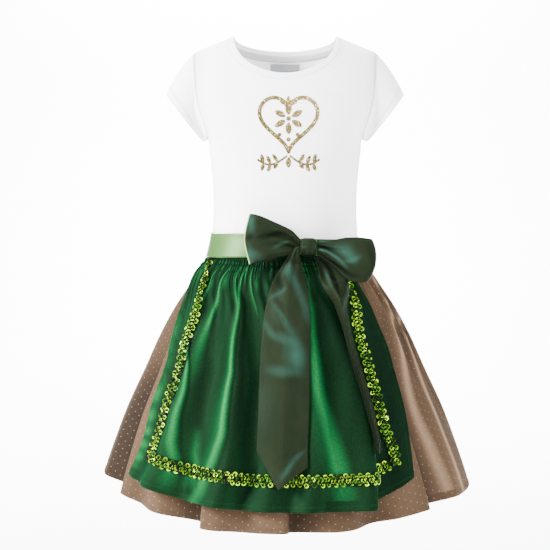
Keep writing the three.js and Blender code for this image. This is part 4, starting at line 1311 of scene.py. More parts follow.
def faced(tree, shader, base, wear, smoothest, roughest):
    """A surface's colour, and its roughness between two bounds."""
    tree.links.new(base, shader.inputs["Base Color"])
    tree.links.new(ramp(tree, wear, 0, 1, smoothest, roughest), shader.inputs["Roughness"])


def settings(shader, **values):
    for key, value in values.items():
        shader.inputs[key.replace("_", " ")].default_value = value


def jersey_material(name, tone, ribbed=False):
    made, tree, shader = material(name)
    place = flat_place(tree)
    knit = placed_group(tree, THREADS, Place=place, Thread_Pitch=0.0009, Slub=0.25)
    dye = placed_group(tree, MOTTLE, Place=place, Scale=9.0)
    painted_shade = attribute(tree, "painted_shade")
    side = node(tree, "ShaderNodeLayerWeight", {"Blend": 0.3}).outputs["Facing"]
    fine = blend(tree, knit["Tone"], colour(tone), colour(tone, 0.95))
    # Painted shade: the white turns grey where the surface turns away from view, at its edges.
    fine = blend(tree, ramp(tree, side, 0.45, 1.0, 0.0, 0.75), fine, colour("a3a4a7"))
    # Painted shade: the white turns grey along the seams and at the cuffs.
    fine = blend(tree, painted_shade, fine, colour("8a8b8e"))
    faced(tree, shader, fine, dye["Fine"], 0.78, 0.92)
    settings(shader, Sheen_Weight=0.1, Sheen_Roughness=0.5, Specular_IOR_Level=0.25)
    layers = [(knit["Height"], 0.35, 0.0002), (dye["Slow"], 0.25, 0.0006)]
    if ribbed:
        parts = node(tree, "ShaderNodeSeparateXYZ", {0: place}).outputs
        rib = maths(tree, "SINE", maths(tree, "MULTIPLY", parts[0], 2 * math.pi / 0.0016))
        layers.append((ramp(tree, rib, -1, 1), 0.6, 0.0003))
    bumped(tree, shader, *layers)
    return made


def dotted_cotton():
    made, tree, shader = material("dotted_cotton")
    place = flat_place(tree)
    weave = placed_group(tree, THREADS, Place=place, Thread_Pitch=0.00055, Slub=0.4)
    dye = placed_group(tree, MOTTLE, Place=place, Scale=10.0, Stretch=0.5)
    dots = placed_group(
        tree, DOTS, Place=place, Step_A=(0.0098, 0.0039, 0), Step_B=(0.0004, 0.0126, 0), Radius=0.0007
    )
    base = blend(tree, dye["Slow"], colour("382a1d"), colour("423224"))
    base = blend(tree, maths(tree, "MULTIPLY", weave["Tone"], 0.25), base, colour("2c2015"))
    painted_shade, crest = attribute(tree, "painted_shade"), attribute(tree, "crest")
    # Painted shade in the folds, and painted highlight along the crests.
    base = blend(tree, painted_shade, base, colour("140d07"))
    base = blend(tree, crest, base, colour("78624e"))
    base = blend(tree, maths(tree, "MULTIPLY", dots["Dot"], 0.7), base, colour("7a6c56"))
    faced(tree, shader, base, dye["Fine"], 0.7, 0.85)
    settings(shader, Sheen_Weight=0.01, Sheen_Roughness=0.45, Sheen_Tint=colour("e8d2bd"))
    settings(shader, Specular_IOR_Level=0.08)
    layers = [(weave["Height"], 0.4, 0.00015), (dye["Fine"], 0.2, 0.0002), (dots["Dome"], 0.6, 0.0004)]
    bumped(tree, shader, *layers)
    return made


def velvet():
    """Pile that is dark seen from above, with a painted sheen that brightens it where it turns from view,
    painted highlights along its folds and painted shade beside them.
    """
    made, tree, shader = material("velvet")
    place = flat_place(tree)
    nap = placed_group(tree, MOTTLE, Place=place, Scale=22.0, Stretch=0.3)
    pile = placed_group(tree, THREADS, Place=place, Thread_Pitch=0.0007, Slub=1.2)
    painted_shade, crest = attribute(tree, "painted_shade"), attribute(tree, "crest")
    # Painted sheen: the green turns brighter where the surface turns away from view.
    side = node(tree, "ShaderNodeLayerWeight", {"Blend": 0.4}).outputs["Facing"]
    base = blend(tree, nap["Slow"], colour("031106"), colour("05180a"))
    base = blend(tree, maths(tree, "MULTIPLY", nap["Fine"], 0.25), base, colour("031006"))
    base = blend(tree, maths(tree, "MULTIPLY", side, 0.36), base, colour("0a4424"))
    grain = placed_group(tree, MOTTLE, Place=place, Scale=420.0)
    base = blend(tree, ramp(tree, grain["Slow"], 0.45, 0.8, 0.0, 0.3), base, colour("072210"))
    # Painted shade in the gathers, creases and beside the crests, and a painted highlight along the crests.
    base = blend(tree, painted_shade, base, colour("010502"))
    painted_crest_highlight = maths(tree, "MULTIPLY", crest, ramp(tree, grain["Slow"], 0.3, 0.7, 0.75, 1.0))
    base = blend(tree, painted_crest_highlight, base, colour("155e30"))
    faced(tree, shader, base, nap["Fine"], 0.52, 0.64)
    settings(shader, Sheen_Weight=0.012, Sheen_Roughness=0.3, Sheen_Tint=colour("1fb060"))
    settings(shader, Specular_IOR_Level=0.015)
    layers = [(pile["Height"], 0.2, 0.0002), (nap["Slow"], 0.25, 0.0008), (nap["Fine"], 0.15, 0.0003)]
    bumped(tree, shader, *layers)
    return made


# The pale colour of the painted highlight along the bend of the right loop.
PAINTED_BEND_HIGHLIGHT = "7c9a62"


def satin(name, deep, lit, sheen, tint, rough, gloss):
    """Ribbon with a smooth face and a fine weft, with broad painted highlights and painted shade on it, and a
    pale painted highlight along the bend of a loop; sheen is the colour of the painted highlights.
    """
    made, tree, shader = material(name)
    place = flat_place(tree)
    cloud = placed_group(tree, MOTTLE, Place=place, Scale=11.0)
    weft = placed_group(tree, THREADS, Place=place, Thread_Pitch=0.0004, Slub=0.3)
    base = blend(tree, cloud["Slow"], colour(deep), colour(lit))
    base = blend(tree, maths(tree, "MULTIPLY", weft["Tone"], 0.06), base, colour(deep))
    # Painted shade, painted highlights, and a pale painted highlight along the bend of a loop.
    base = blend(tree, attribute(tree, "painted_shade"), base, colour(deep, 0.15))
    base = blend(tree, attribute(tree, "painted_gleam"), base, colour(sheen))
    base = blend(tree, attribute(tree, "painted_bend_highlight"), base, colour(PAINTED_BEND_HIGHLIGHT))
    faced(tree, shader, base, cloud["Fine"], rough - 0.03, rough + 0.05)
    settings(shader, Specular_IOR_Level=gloss, Specular_Tint=colour(tint))
    settings(shader, Sheen_Weight=0.004, Sheen_Roughness=0.4, Sheen_Tint=colour(tint))
    bumped(tree, shader, (weft["Height"], 0.04, 0.0001), (cloud["Slow"], 0.06, 0.0012))
    return made


def thread_material(name, tone):
    made, tree, shader = material(name)
    place = object_place(tree)
    twist = placed_group(tree, MOTTLE, Place=place, Scale=300.0)
    faced(tree, shader, blend(tree, twist["Slow"], colour(tone), colour(tone, 0.6)), twist["Fine"], 0.5, 0.7)
    settings(shader, Specular_IOR_Level=0.06)
    bumped(tree, shader, (twist["Fine"], 0.3, 0.0001))
    return made


def sequin_material():
    made, tree, shader = material("lime_sequins")
    tone = attribute(tree, "tone")
    place = object_place(tree)
    wear = placed_group(tree, MOTTLE, Place=place, Scale=120.0)
    rim = attribute(tree, "rim")
    base = blend(tree, ramp(tree, tone, 0.15, 0.85), colour("4a8600"), colour("b4ee00"))
    base = blend(tree, ramp(tree, tone, 0.78, 0.86), base, colour("1c4606"))
    # Painted shade: darker in the cup round each sequin's hole and along its outer edge.
    base = blend(tree, ramp(tree, rim, 0.1, 0.5, 1.0, 0.0), base, colour("2c5800"))
    base = blend(tree, ramp(tree, rim, 0.8, 0.95), base, colour("0c1c00"))
    faced(tree, shader, base, wear["Fine"], 0.2, 0.34)
    tree.links.new(ramp(tree, wear["Slow"], 0, 1, 0.15, 0.35), shader.inputs["Metallic"])
    settings(shader, Specular_IOR_Level=0.08)
    bumped(tree, shader, (wear["Slow"], 0.2, 0.0002))
    return made


def glitter_material():
    made, tree, shader = material("gold_glitter")
    place = object_place(tree)
    cells = node(tree, "ShaderNodeTexVoronoi", {"Vector": place, "Scale": 900.0}, feature="F1")
    tint = node(tree, "ShaderNodeSeparateXYZ", {0: cells.outputs["Color"]}).outputs
    base = blend(tree, ramp(tree, tint[0], 0.2, 0.9), colour("3a3012"), colour("6e5c2a"))
    base = blend(tree, ramp(tree, tint[1], 0.86, 0.98), base, colour("cfc088"))
    faced(tree, shader, base, tint[2], 0.2, 0.55)
    tree.links.new(ramp(tree, tint[1], 0.2, 0.8, 0.45, 0.85), shader.inputs["Metallic"])
    bumped(tree, shader, (tint[0], 0.8, 0.0003))
    return made


WHITE_JERSEY = jersey_material("white_jersey", "f1f1f2")
WHITE_RIB = jersey_material("white_rib", "efeff0", ribbed=True)
# The tape's grey is painted darker than the jersey, as shade inside the back neck.
TAPE = jersey_material("neck_tape_twill", "b4b5b6", ribbed=True)
LABEL = jersey_material("woven_patch", "8c8e90")
COTTON = dotted_cotton()
VELVET = velvet()
BOW_SATIN = satin("bow_satin", "10150c", "151a10", "1d342c", "6fae9a", 0.46, 0.04)
SASH_SATIN = satin("sash_satin", "24401a", "304f23", "5a7a48", "c4efae", 0.4, 0.4)
SEQUINS = sequin_material()
GLITTER = glitter_material()
NET = thread_material("trim_net", "050f07")
GREEN_THREAD = thread_material("green_thread", "06301a")
DARK_THREAD = thread_material("dark_thread", "020a04")
TAUPE_THREAD = thread_material("taupe_thread", "2c2017")
WHITE_THREAD = thread_material("white_thread", "ececec")

# ---------------------------------------------------------------- pieces of cloth


def seam_dip(u, v, rim=0.012):
    """A panel sinks a little along its seams."""
    side = np.minimum(u, 1 - u)
    return -0.6 * (1 - smooth(side, 0, rim)) - 0.5 * (1 - smooth(v, 0, 0.03))


# Painted shade along a bodice panel's armhole seams, and a wider band of it towards its sides.
def seam_shade(u, v):
    side = np.minimum(u, 1 - u)
    return 0.3 * (1 - smooth(side, 0, 0.018)) * (1 - smooth(v, 1.1, 1.4)) + 0.25 * (1 - smooth(side, 0, 0.08))


# Painted shade where the sleeve meets the armhole, along the hem line of the cuff and at its edge.
def cuff_shade(u, v):
    return 0.6 * (1 - smooth(v, 0, 0.1)) + 0.3 * bump((v - 0.83) / 0.03) + 0.3 * smooth(v, 0.96, 1)


def make_bodice(face, name):
    surface = bodice_of[face]

    def height(u, v):
        return seam_dip(u, v) + creased(surface(u, v), face)

    rows, values = joined((44, 0, 1), (60, 1, 2)), {"painted_shade": seam_shade}
    return shell(name, surface, even(141), rows, THICK["jersey"], WHITE_JERSEY, height=height, values=values)


def mirrored(piece, name):
    """The same piece for the wearer's right."""
    mesh = piece.data.copy()
    mesh.name = name
    count = len(mesh.vertices)
    co = np.empty(count * 3, np.float32)
    mesh.vertices.foreach_get("co", co)
    co[0::3] *= -1
    mesh.vertices.foreach_set("co", co)
    mesh.flip_normals()
    mesh.update()
    return link(name, mesh)


bodice_front = make_bodice(FRONT, "bodice_front_jersey")
bodice_back = make_bodice(BACK, "bodice_back_jersey")
sleeve_left = shell(
    "sleeve_left_jersey",
    sleeve_surface,
    even(129),
    even(34),
    THICK["jersey"],
    WHITE_JERSEY,
    ring=True,
    height=sleeve_height,
    values={"painted_shade": cuff_shade},
)
sleeve_right = mirrored(sleeve_left, "sleeve_right_jersey")


def binding_height(u, v):
    return 0.5 * np.sin(np.pi * np.clip(v * 0.9 + 0.05, 0, 1)) ** 0.5 - 0.3


neck_rib = shell(
    "neck_rib",
    binding_surface,
    even(241),
    even(9),
    THICK["rib"],
    WHITE_RIB,
    ring=True,
    height=binding_height,
)


def inside_back(x, drop, depth):
    """A place on the inside of the back panel."""
    return form_point(x, drop, BACK) + form_normal(x, drop, BACK) * depth


def tape_surface(u, v):
    angle = np.pi * mix(0.06, 0.94, u)
    x, drop, _ = neckline(angle, BINDING_WIDTH + mix(-1.5, 7.5, v))
    return inside_back(x, drop, THICK["jersey"] + 0.7)


def label_surface(u, v):
    return inside_back(mix(22, -22, u), mix(39, 62, v), THICK["jersey"] + 1.4)


neck_tape = shell("neck_tape", tape_surface, even(90), even(5), 0.5, TAPE)
neck_patch = shell("neck_patch", label_surface, even(40), even(22), 0.6, LABEL)

skirt_rows = joined((34, 0, 0.2), (58, 0.2, 0.96), (8, 0.96, 1))


def skirt_painted_shade(angle, v):
    """Painted shade: where the cotton lies in the shade of its folds, and of the apron on the wearer's right.
    """
    at = wrapped(angle)
    deep = pressed_in(at, v, SKIRT_FOLDS)[0] / 52 + pressed_in(at, v, SKIRT_CREASES)[0] / 18
    side = mix(0.3, 0.62, smooth(v, 0.3, 0.8)) * bump((at - 192) / 24)
    side = side + 0.35 * bump((at - 194) / 6) * smooth(v, 0.4, 0.6)
    return np.clip(np.max([deep, 0.8 * crest_lines(SKIRT_CRESTS, at, v)[2], side], axis=0), 0, 0.85)


# Painted highlight along the crests beside the apron.
def skirt_painted_highlight(angle, v):
    return crest_lines(SKIRT_CRESTS, wrapped(angle), v)[1]


skirt_back_cloth, skirt_front_cloth = [
    shell(
        "skirt_%s_cotton" % side,
        skirt_surface,
        even(361, start, start + 180),
        skirt_rows,
        THICK["cotton"],
        COTTON,
        gathered=True,
        values={"painted_shade": skirt_painted_shade, "crest": skirt_painted_highlight},
    )
    for side, start in (("back", 0), ("front", 180))
]


def apron_painted_shade(u, v):
    """Painted shade: where the pile lies in the shade of a gather, a crest or a crease, or turns away on the
    wearer's left.
    """
    below = below_top(u, v)
    ridge = apron_ridges(u, v) / 2.6
    gathered = np.clip(0.8 - 1.05 * ridge, 0, 0.8) * (1 - smooth(below, 26, 80)) * smooth(below, 6, 14)
    near_side = 0.4 * (1 - smooth(u, 0.03, 0.1)) * (1 - smooth(v, 0.2, 0.4))
    away = np.maximum(0.55 * smooth(u, 0.74, 0.96), near_side)
    crumpled = np.clip(-dents(pair(u, v), APRON_CREASES) / 3.4, 0, 0.7)
    return np.max([gathered, 0.85 * crest_lines(APRON_CRESTS, u, v)[2], away, crumpled], axis=0)


# Painted highlight along the crests, on the tops of the fine gathers under the shirring, and in crumpled
# patches near the side edge on the wearer's right.
def apron_painted_highlight(u, v):
    below = below_top(u, v)
    fine = np.clip(apron_ridges(u, v) / 3 - 0.55, 0, 0.5) * (1 - smooth(below, 24, 60)) * smooth(below, 6, 14)
    crumple = 0.62 + 0.38 * np.sin(2 * np.pi * (10 * v + 1.2 * np.sin(7 * v) + 3 * u))
    margin = mix(0.25, 0.5, smooth(v, 0.4, 0.7)) * (1 - smooth(u, 0.02, 0.07)) * smooth(v, 0.2, 0.4) * crumple
    margin = margin * (1 - smooth(v, 0.93, 0.97))
    return np.max([crest_lines(APRON_CRESTS, u, v)[1], fine, margin], axis=0)


apron_rows = joined((36, 0, 0.14), (60, 0.14, 0.95), (9, 0.95, 1))
apron_velvet = shell(
    "apron_velvet",
    apron_surface,
    even(421),
    apron_rows,
    THICK["velvet"],
    VELVET,
    height=apron_height,
    values={"painted_shade": apron_painted_shade, "crest": apron_painted_highlight},
)

sash_band = shell(
    "sash_band",
    worn_sash,
    even(257, -60, 300),
    even(15, SASH_TOP, SASH_LOW),
    THICK["satin"],
    SASH_SATIN,
    ring=True,
    height=sash_height,
)


def make_loop(side):
    vs = 0.002 + 0.996 * even(121)
    values = {
        "painted_gleam": marks(loop_places, LOOP_GLEAMS[side]),
        "painted_shade": marks(loop_places, LOOP_SHADES[side]),
        # A pale painted highlight along the bend of the right loop.
        "painted_bend_highlight": lambda u, v: bump((v - 0.475) / 0.035) * (side == "right"),
    }
    name = "bow_loop_%s_ribbon" % side
    return shell(name, loop_surface(side), even(57), vs, THICK["satin"], BOW_SATIN, values=values)


def tail_shade(side):
    """Painted shade on a tail, and on the left one the shade of its own fold."""
    fold = 0.6 if side == "left" else 0
    return lambda u, v: np.maximum(marks(tail_places, TAIL_SHADES[side])(u, v), fold * smooth(v, 0.3, 0.6))


loop_right, loop_left = make_loop("right"), make_loop("left")
tail_rows = joined((90, 0, 1), (16, 1, 2))
tail_right, tail_left = [
    shell(
        "bow_tail_%s_ribbon" % side,
        tail_surface(side, waves),
        even(41),
        tail_rows,
        THICK["satin"],
        BOW_SATIN,
        height=tail_height(side),
        values={"painted_gleam": marks(tail_places, TAIL_GLEAMS[side]), "painted_shade": tail_shade(side)},
    )
    for side, waves in (("right", 1.0), ("left", 0.0))
]


def make_knot():
    """The ribbon wrapped round the middle of the bow, with its creases."""
    turns, rows = 72, 33
    angle, up = np.meshgrid(even(turns + 1, 0, 2 * np.pi), even(rows, -1, 1))
    full = np.sqrt(1 - 0.45 * up * up) * (1 - 0.3 * smooth(np.abs(up), 0.9, 1))
    squared = 0.7
    c = np.sign(np.cos(angle)) * np.abs(np.cos(angle)) ** squared
    s = np.sign(np.sin(angle)) * np.abs(np.sin(angle)) ** squared
    crease = 0.9 * bump((c - 0.35 - 0.1 * up) / 0.22) + 0.7 * bump((c + 0.42 + 0.12 * up) / 0.2)
    crease = crease * (s < 0)
    x, y, z = KNOT["width"] / 2 * full * c, (KNOT["depth"] / 2 * full - crease) * s, KNOT["height"] / 2 * up
    points = KNOT_AT + vec(x, y, z)
    ends = KNOT_AT + np.array([[0, 0, -KNOT["height"] / 2 - 0.4], [0, 0, KNOT["height"] / 2 + 0.4]])
    body = points[:, :-1].reshape(-1, 3)
    faces, flat = [], []
    for r in range(rows - 1):
        for t in range(turns):
            a, b = r * turns + t, r * turns + (t + 1) % turns
            faces.append((a, b, b + turns, a + turns))
            for i, j in ((t, r), (t + 1, r), (t + 1, r + 1), (t, r + 1)):
                flat.append((i * 0.001, j * 0.001))
    low, high = len(body), len(body) + 1
    for t in range(turns):
        faces.append(((t + 1) % turns, t, low))
        top = (rows - 1) * turns
        faces.append((top + t, top + (t + 1) % turns, high))
        flat += [(0, 0), (0.001, 0), (0, 0.001)] * 2
    across, upward = c[:, :-1].ravel(), np.broadcast_to(up, c.shape)[:, :-1].ravel()
    # Painted highlights on the front of the wrap, and painted shade over its lower part, under the knot.
    painted_gleam = 0.4 * bump((across + 0.5) / 0.5) * bump((upward - 0.1) / 0.14)
    painted_gleam = painted_gleam + 0.5 * bump((across - 0.82) / 0.16) * bump((upward - 0.15) / 0.5)
    painted_shade = 0.8 * smooth(-upward, 0.3, 0.9)
    values = {"painted_gleam": np.append(painted_gleam, [0, 0]), "painted_shade": np.append(painted_shade, [0.8, 0])}
    return mesh_of("bow_knot_wrap", np.concatenate([body, ends]), faces, flat, values, BOW_SATIN)


knot_wrap = make_knot()

# ---------------------------------------------------------------- repeated small work


def ended(tree, out, geometry, finish):
    """Realize the instances, and give them their finish."""
    real = node(tree, "GeometryNodeRealizeInstances", {0: geometry}).outputs[0]
    done = node(tree, "GeometryNodeSetMaterial", {"Geometry": real, "Material": finish}).outputs[0]
    tree.links.new(done, out.inputs[0])


def facing_of(tree):
    kind = "GeometryNodeInputNamedAttribute"
    return node(tree, kind, {"Name": "facing"}, data_type="FLOAT_VECTOR").outputs[0]


def turned_to(tree, direction, axis, turn=None, **settings):
    inputs = {"Vector": direction} if turn is None else {"Rotation": turn, "Vector": direction}
    return node(tree, "FunctionNodeAlignRotationToVector", inputs, axis=axis, **settings).outputs[0]


def jittered(tree, turn, seed, share, most):
    """A rotation turned further at random, by up to a share of the most about each of its own axes."""
    spread = node(tree, "FunctionNodeRandomValue", {"Seed": seed}, data_type="FLOAT_VECTOR")
    for index, sign in enumerate((-1.0, 1.0)):
        inputs = {0: tuple(sign * m for m in most), "Scale": share}
        bound = node(tree, "ShaderNodeVectorMath", inputs, operation="SCALE").outputs[0]
        tree.links.new(bound, spread.inputs[index])
    twist = node(tree, "FunctionNodeEulerToRotation", {0: spread.outputs[0]}).outputs[0]
    return node(tree, "FunctionNodeRotateRotation", {0: turn, 1: twist}, rotation_space="LOCAL").outputs[0]


def random_float(tree, seed, after, low=0.0, high=1.0):
    """A random number for each place, with a seed so much after the given one."""
    inputs = {2: low, 3: high, "Seed": maths(tree, "ADD", seed, float(after))}
    return node(tree, "FunctionNodeRandomValue", inputs, data_type="FLOAT").outputs[1]


def make_stitch_tree():
    """Stitches of a given pitch along a line."""
    tree, given, out = group_of(
        "GeometryNodeTree",
        "stitch_line",
        [("Geometry", "Geometry", None), ("Stitch", "Object", None), ("Pitch", "Float", 0.0025)]
        + [("Wander", "Float", 0.1), ("Seed", "Int", 1), ("Finish", "Material", None)],
        [("Geometry", "Geometry")],
    )
    line = node(tree, "GeometryNodeMeshToCurve", {0: given["Geometry"]}).outputs[0]
    inputs = {"Curve": line, "Length": given["Pitch"]}
    places = node(tree, "GeometryNodeResampleCurve", inputs, mode="LENGTH").outputs[0]
    tangent = node(tree, "GeometryNodeInputTangent").outputs[0]
    turn = turned_to(tree, tangent, "X")
    turn = turned_to(tree, facing_of(tree), "Z", turn, pivot_axis="X")
    turn = jittered(tree, turn, given["Seed"], given["Wander"], (1.0, 1.0, 1.0))
    stitch = node(tree, "GeometryNodeObjectInfo", {"Object": given["Stitch"]}).outputs["Geometry"]
    inputs = {"Points": places, "Instance": stitch, "Rotation": turn}
    ended(tree, out, node(tree, "GeometryNodeInstanceOnPoints", inputs).outputs[0], given["Finish"])
    return tree


def make_sequin_tree():
    """Sequins on given places, tilted and toned at random."""
    tree, given, out = group_of(
        "GeometryNodeTree",
        "sequin_rows",
        [("Geometry", "Geometry", None), ("Sequin", "Object", None), ("Tilt", "Float", 0.3)]
        + [("Smallest", "Float", 0.9), ("Largest", "Float", 1.08), ("Seed", "Int", 3)]
        + [("Finish", "Material", None)],
        [("Geometry", "Geometry")],
    )
    turn = turned_to(tree, facing_of(tree), "Z")
    turn = jittered(tree, turn, given["Seed"], given["Tilt"], (1.0, 1.0, 6.0))
    size = random_float(tree, given["Seed"], 1, given["Smallest"], given["Largest"])
    disc = node(tree, "GeometryNodeObjectInfo", {"Object": given["Sequin"]}).outputs["Geometry"]
    inputs = {"Points": given["Geometry"], "Instance": disc, "Rotation": turn, "Scale": size}
    laid = node(tree, "GeometryNodeInstanceOnPoints", inputs).outputs[0]
    inputs = {"Geometry": laid, "Name": "tone", "Value": random_float(tree, given["Seed"], 2)}
    keep = {"data_type": "FLOAT", "domain": "INSTANCE"}
    toned = node(tree, "GeometryNodeStoreNamedAttribute", inputs, **keep).outputs[0]
    ended(tree, out, toned, given["Finish"])
    return tree


def worked(piece, tree, name, **values):
    """The plain mesh that a node tree makes of a piece."""
    modifier = piece.modifiers.new("work", "NODES")
    modifier.node_group = tree
    names = {item.name: item.identifier for item in tree.interface.items_tree if item.in_out == "INPUT"}
    for key, value in values.items():
        modifier[names[key]] = value
    bpy.context.view_layer.update()
    graph = bpy.context.evaluated_depsgraph_get()
    mesh = bpy.data.meshes.new_from_object(piece.evaluated_get(graph), depsgraph=graph)
    mesh.name = name
    bpy.data.objects.remove(piece)
    return link(name, mesh)


def turned_form(profile, around):
    """A profile of radii and heights turned round +Z."""
    places = [(r, z, 2 * math.pi * i / around) for r, z in profile for i in range(around)]
    points = [(r * math.cos(angle), r * math.sin(angle), z) for r, z, angle in places]
    steps = [(j * around, i, (i + 1) % around) for j in range(len(profile) - 1) for i in range(around)]
    return points, [(a + around + i, a + around + n, a + n, a + i) for a, i, n in steps]


def stitch_form(thick=1.0):
    """One stitch, lying along X: a small rounded bead of thread."""
    around, long = 6, 1.9
    profile = [(-0.5, 0.02), (-0.42, 0.16), (0, 0.22), (0.42, 0.16), (0.5, 0.02)]
    points, faces = turned_form([(r * thick, long * x) for x, r in profile], around)
    ends = [tuple(range(around)), tuple(range(len(points) - around, len(points)))[::-1]]
    return mesh_of("stitch_form", [(z, x, y) for x, y, z in points], faces + ends)


def sequin_form():
    """One cupped sequin with a hole in its middle, facing +Z."""
    around, rings = 14, [(0.9, 0.0), (1.3, 0.15), (1.8, 0.35), (2.5, 1.0), (3.1, 1.25), (3.7, 1.15)]
    rim = [j / (len(rings) - 1) for j in range(len(rings)) for _ in range(around)]
    return mesh_of("sequin_form", *turned_form(rings, around), None, {"rim": rim})


STITCHES, SEQUIN_ROWS = make_stitch_tree(), make_sequin_tree()
STITCH, COARSE_STITCH, SEQUIN = stitch_form(), stitch_form(4.0), sequin_form()


def run_on(surface, u, v, lift):
    """A line of points on a surface, lifted off it, with the surface's outward direction."""
    u, v = np.broadcast_arrays(np.asarray(u, float), np.asarray(v, float))
    normal = normal_of(surface, u, v)
    return surface(u, v) + normal * lift, normal


def sewn(name, runs, pitch, finish, seed=1, wander=0.1, stitch=STITCH):
    values = {"Stitch": stitch, "Pitch": pitch * MM, "Wander": wander, "Seed": seed, "Finish": finish}
    return worked(line_piece(name + "_line", runs), STITCHES, name, **values)


def mirrored_runs(runs):
    flip = np.array([-1, 1, 1])
    return [(line * flip, normals * flip) for line, normals in runs]


u_run = even(600, 0.006, 0.994)
v_run = even(300, 0.05, 0.985)
apron_long = below_top(u_run, 1)
apron_sewing = [run_on(apron_cloth, u_run, 1 - above / apron_long, 0.12) for above in (6.2, 8.0)]
for across in (5.5 / 380, 1 - 9 / 400):  # how far in from each side, over the apron's width
    apron_sewing.append(run_on(apron_cloth, across, v_run, 0.12))
apron_stitches = sewn("apron_stitches", apron_sewing, 2.6, GREEN_THREAD, 3)
shirring_runs = [run_on(apron_cloth, u_run, row / apron_long, 0.05) for row in SHIRRING_ROWS]
shirring_stitches = sewn("shirring_stitches", shirring_runs, 2.4, DARK_THREAD, 5)

around_run = even(900, 0, 360)
skirt_runs = [run_on(skirt_surface, around_run, 1 - 6.5 / SKIRT_LONG, 0.1)]
skirt_stitches = sewn("skirt_hem_stitches", skirt_runs, 2.8, TAUPE_THREAD, 7)
cuff_cloth = raised(sleeve_surface, sleeve_height)
cuff_runs = [run_on(cuff_cloth, even(200), v, 0.1) for v in (0.845, 0.862)]
cuff_stitches = sewn("cuff_stitches", cuff_runs + mirrored_runs(cuff_runs), 2.4, WHITE_THREAD, 9)


def below_neck(u, v):
    angle = 2 * np.pi * u
    return form_point(*neckline(angle, BINDING_WIDTH + 1.2 + 3 * v))


neck_stitches = sewn("neck_stitches", [run_on(below_neck, even(400), 0.3, 0.15)], 2.4, WHITE_THREAD, 11)
corners = [(0.04, 0.06), (0.96, 0.06), (0.96, 0.94), (0.04, 0.94), (0.04, 0.06)]
patch_runs = [
    run_on(label_surface, mix(a, c, even(30)), mix(b, d, even(30)), 0.12)
    for (a, b), (c, d) in zip(corners, corners[1:])
]
patch_stitches = sewn("patch_stitches", patch_runs, 2.0, WHITE_THREAD, 13)


def trim_surface(side):
    """The side trims run down the apron, and the hem trim lies along it."""

    def place(u, v):
        at = mix(TRIM_TOP, 1 - TRIM_ABOVE_HEM / APRON_LONG, v)
        start, end = trim_edges(side, at)
        across = mix(start, end, u)
        return apron_cloth(across if side == "right" else 1 - across, at)

    def hem(u, v):
        at = 1 - (TRIM_ABOVE_HEM + TRIM_WIDTH * (1 - v)) / APRON_LONG
        right, left = trim_edges("right", at)[1], trim_edges("left", at)[1]
        return apron_cloth(mix(right, 1 - left, u), at)

    if side == "hem":
        return hem
    return place if side == "right" else (lambda u, v: place(1 - u, v))


def lifted(surface, lift):
    return lambda u, v: surface(u, v) + normal_of(surface, u, v) * lift


def along_trim(surface, side):
    """A trim's length down its middle, and the place along it for each share of that length."""
    places = even(400)
    middle = surface(0 * places + 0.5, places) if side != "hem" else surface(places, 0 * places + 0.5)
    length = lengths(middle, 0)
    return length[-1], lambda share: np.interp(share * length[-1], length, places)


# Sequins are sewn on in slanting strings of four: places across the trim, and along each step of it.
SEQUIN_STEP, SEQUIN_PLACES = 10.8, ((0.17, 0.0), (0.37, 0.5), (0.62, 0.3), (0.84, 0.8))
FORWARD = {"right": 0.6, "hem": 0.3, "left": 0.3}  # how far the sequins turn to the front


def sequins_on(side, number, surface, along, place_at):
    """Sequins near their places along a trim, turned to the front where it isn't shirred."""
    count = int(along / SEQUIN_STEP)
    across, down = [], []
    for in_step, (place, at) in enumerate(SEQUIN_PLACES):
        salt = 40 + 10 * number + in_step
        across.append(place + (chance(count, salt) - 0.5) * 0.07)
        down.append((np.arange(count) + at + (chance(count, salt + 5) - 0.5) * 0.12) / count)
    across = np.concatenate(across)
    down = place_at(np.clip(np.concatenate(down), 0.006, 0.994))
    u, v = (down, across) if side == "hem" else (across, down)
    normal = normal_of(surface, u, v)
    shirred = 1 - smooth(v, 0.12, 0.34) if side == "right" else 0 * v
    normal = unit(mix(normal, vec(0, -1, 0), (FORWARD[side] * (1 - shirred))[:, None]))
    return worked(
        places_piece("spots", surface(u, v) + normal * 1.6, [], normal),
        SEQUIN_ROWS,
        "trim_%s_sequins" % side,
        Sequin=SEQUIN,
        Tilt=0.3,
        Smallest=0.9,
        Largest=1.08,
        Seed=20 + number,
        Finish=SEQUINS,
    )


def thread_over(side, number, surface, along, place_at):
    """Two threads that sway from edge to edge over the sequins and cross each other."""
    runs = []
    for phase in (0, 1):
        share = even(int(along * 1.5))
        sway = 0.06 + 0.88 * np.abs((2 * share * along / SEQUIN_STEP + phase) % 2 - 1)
        a, b = (place_at(share), sway) if side == "hem" else (sway, place_at(share))
        line, facing = run_on(surface, a, b, 2.6)
        runs.append((line - vec(0, 2.6 if side == "right" else 1.2, 0), facing))
    return sewn("trim_%s_thread" % side, runs, 1.8, DARK_THREAD, 30 + number, 0.05, COARSE_STITCH)


trims, sequins, trim_threads = {}, {}, {}
for number, side in enumerate(("right", "hem", "left")):
    surface = trim_surface(side)
    sizes = (even(150), even(7)) if side == "hem" else (even(7), even(110))
    trims[side] = shell("trim_%s_net" % side, lifted(surface, 0.7), *sizes, 0.4, NET)
    length = along_trim(surface, side)
    sequins[side] = sequins_on(side, number, surface, *length)
    trim_threads[side] = thread_over(side, number, surface, *length)

# ---------------------------------------------------------------- the print on the chest


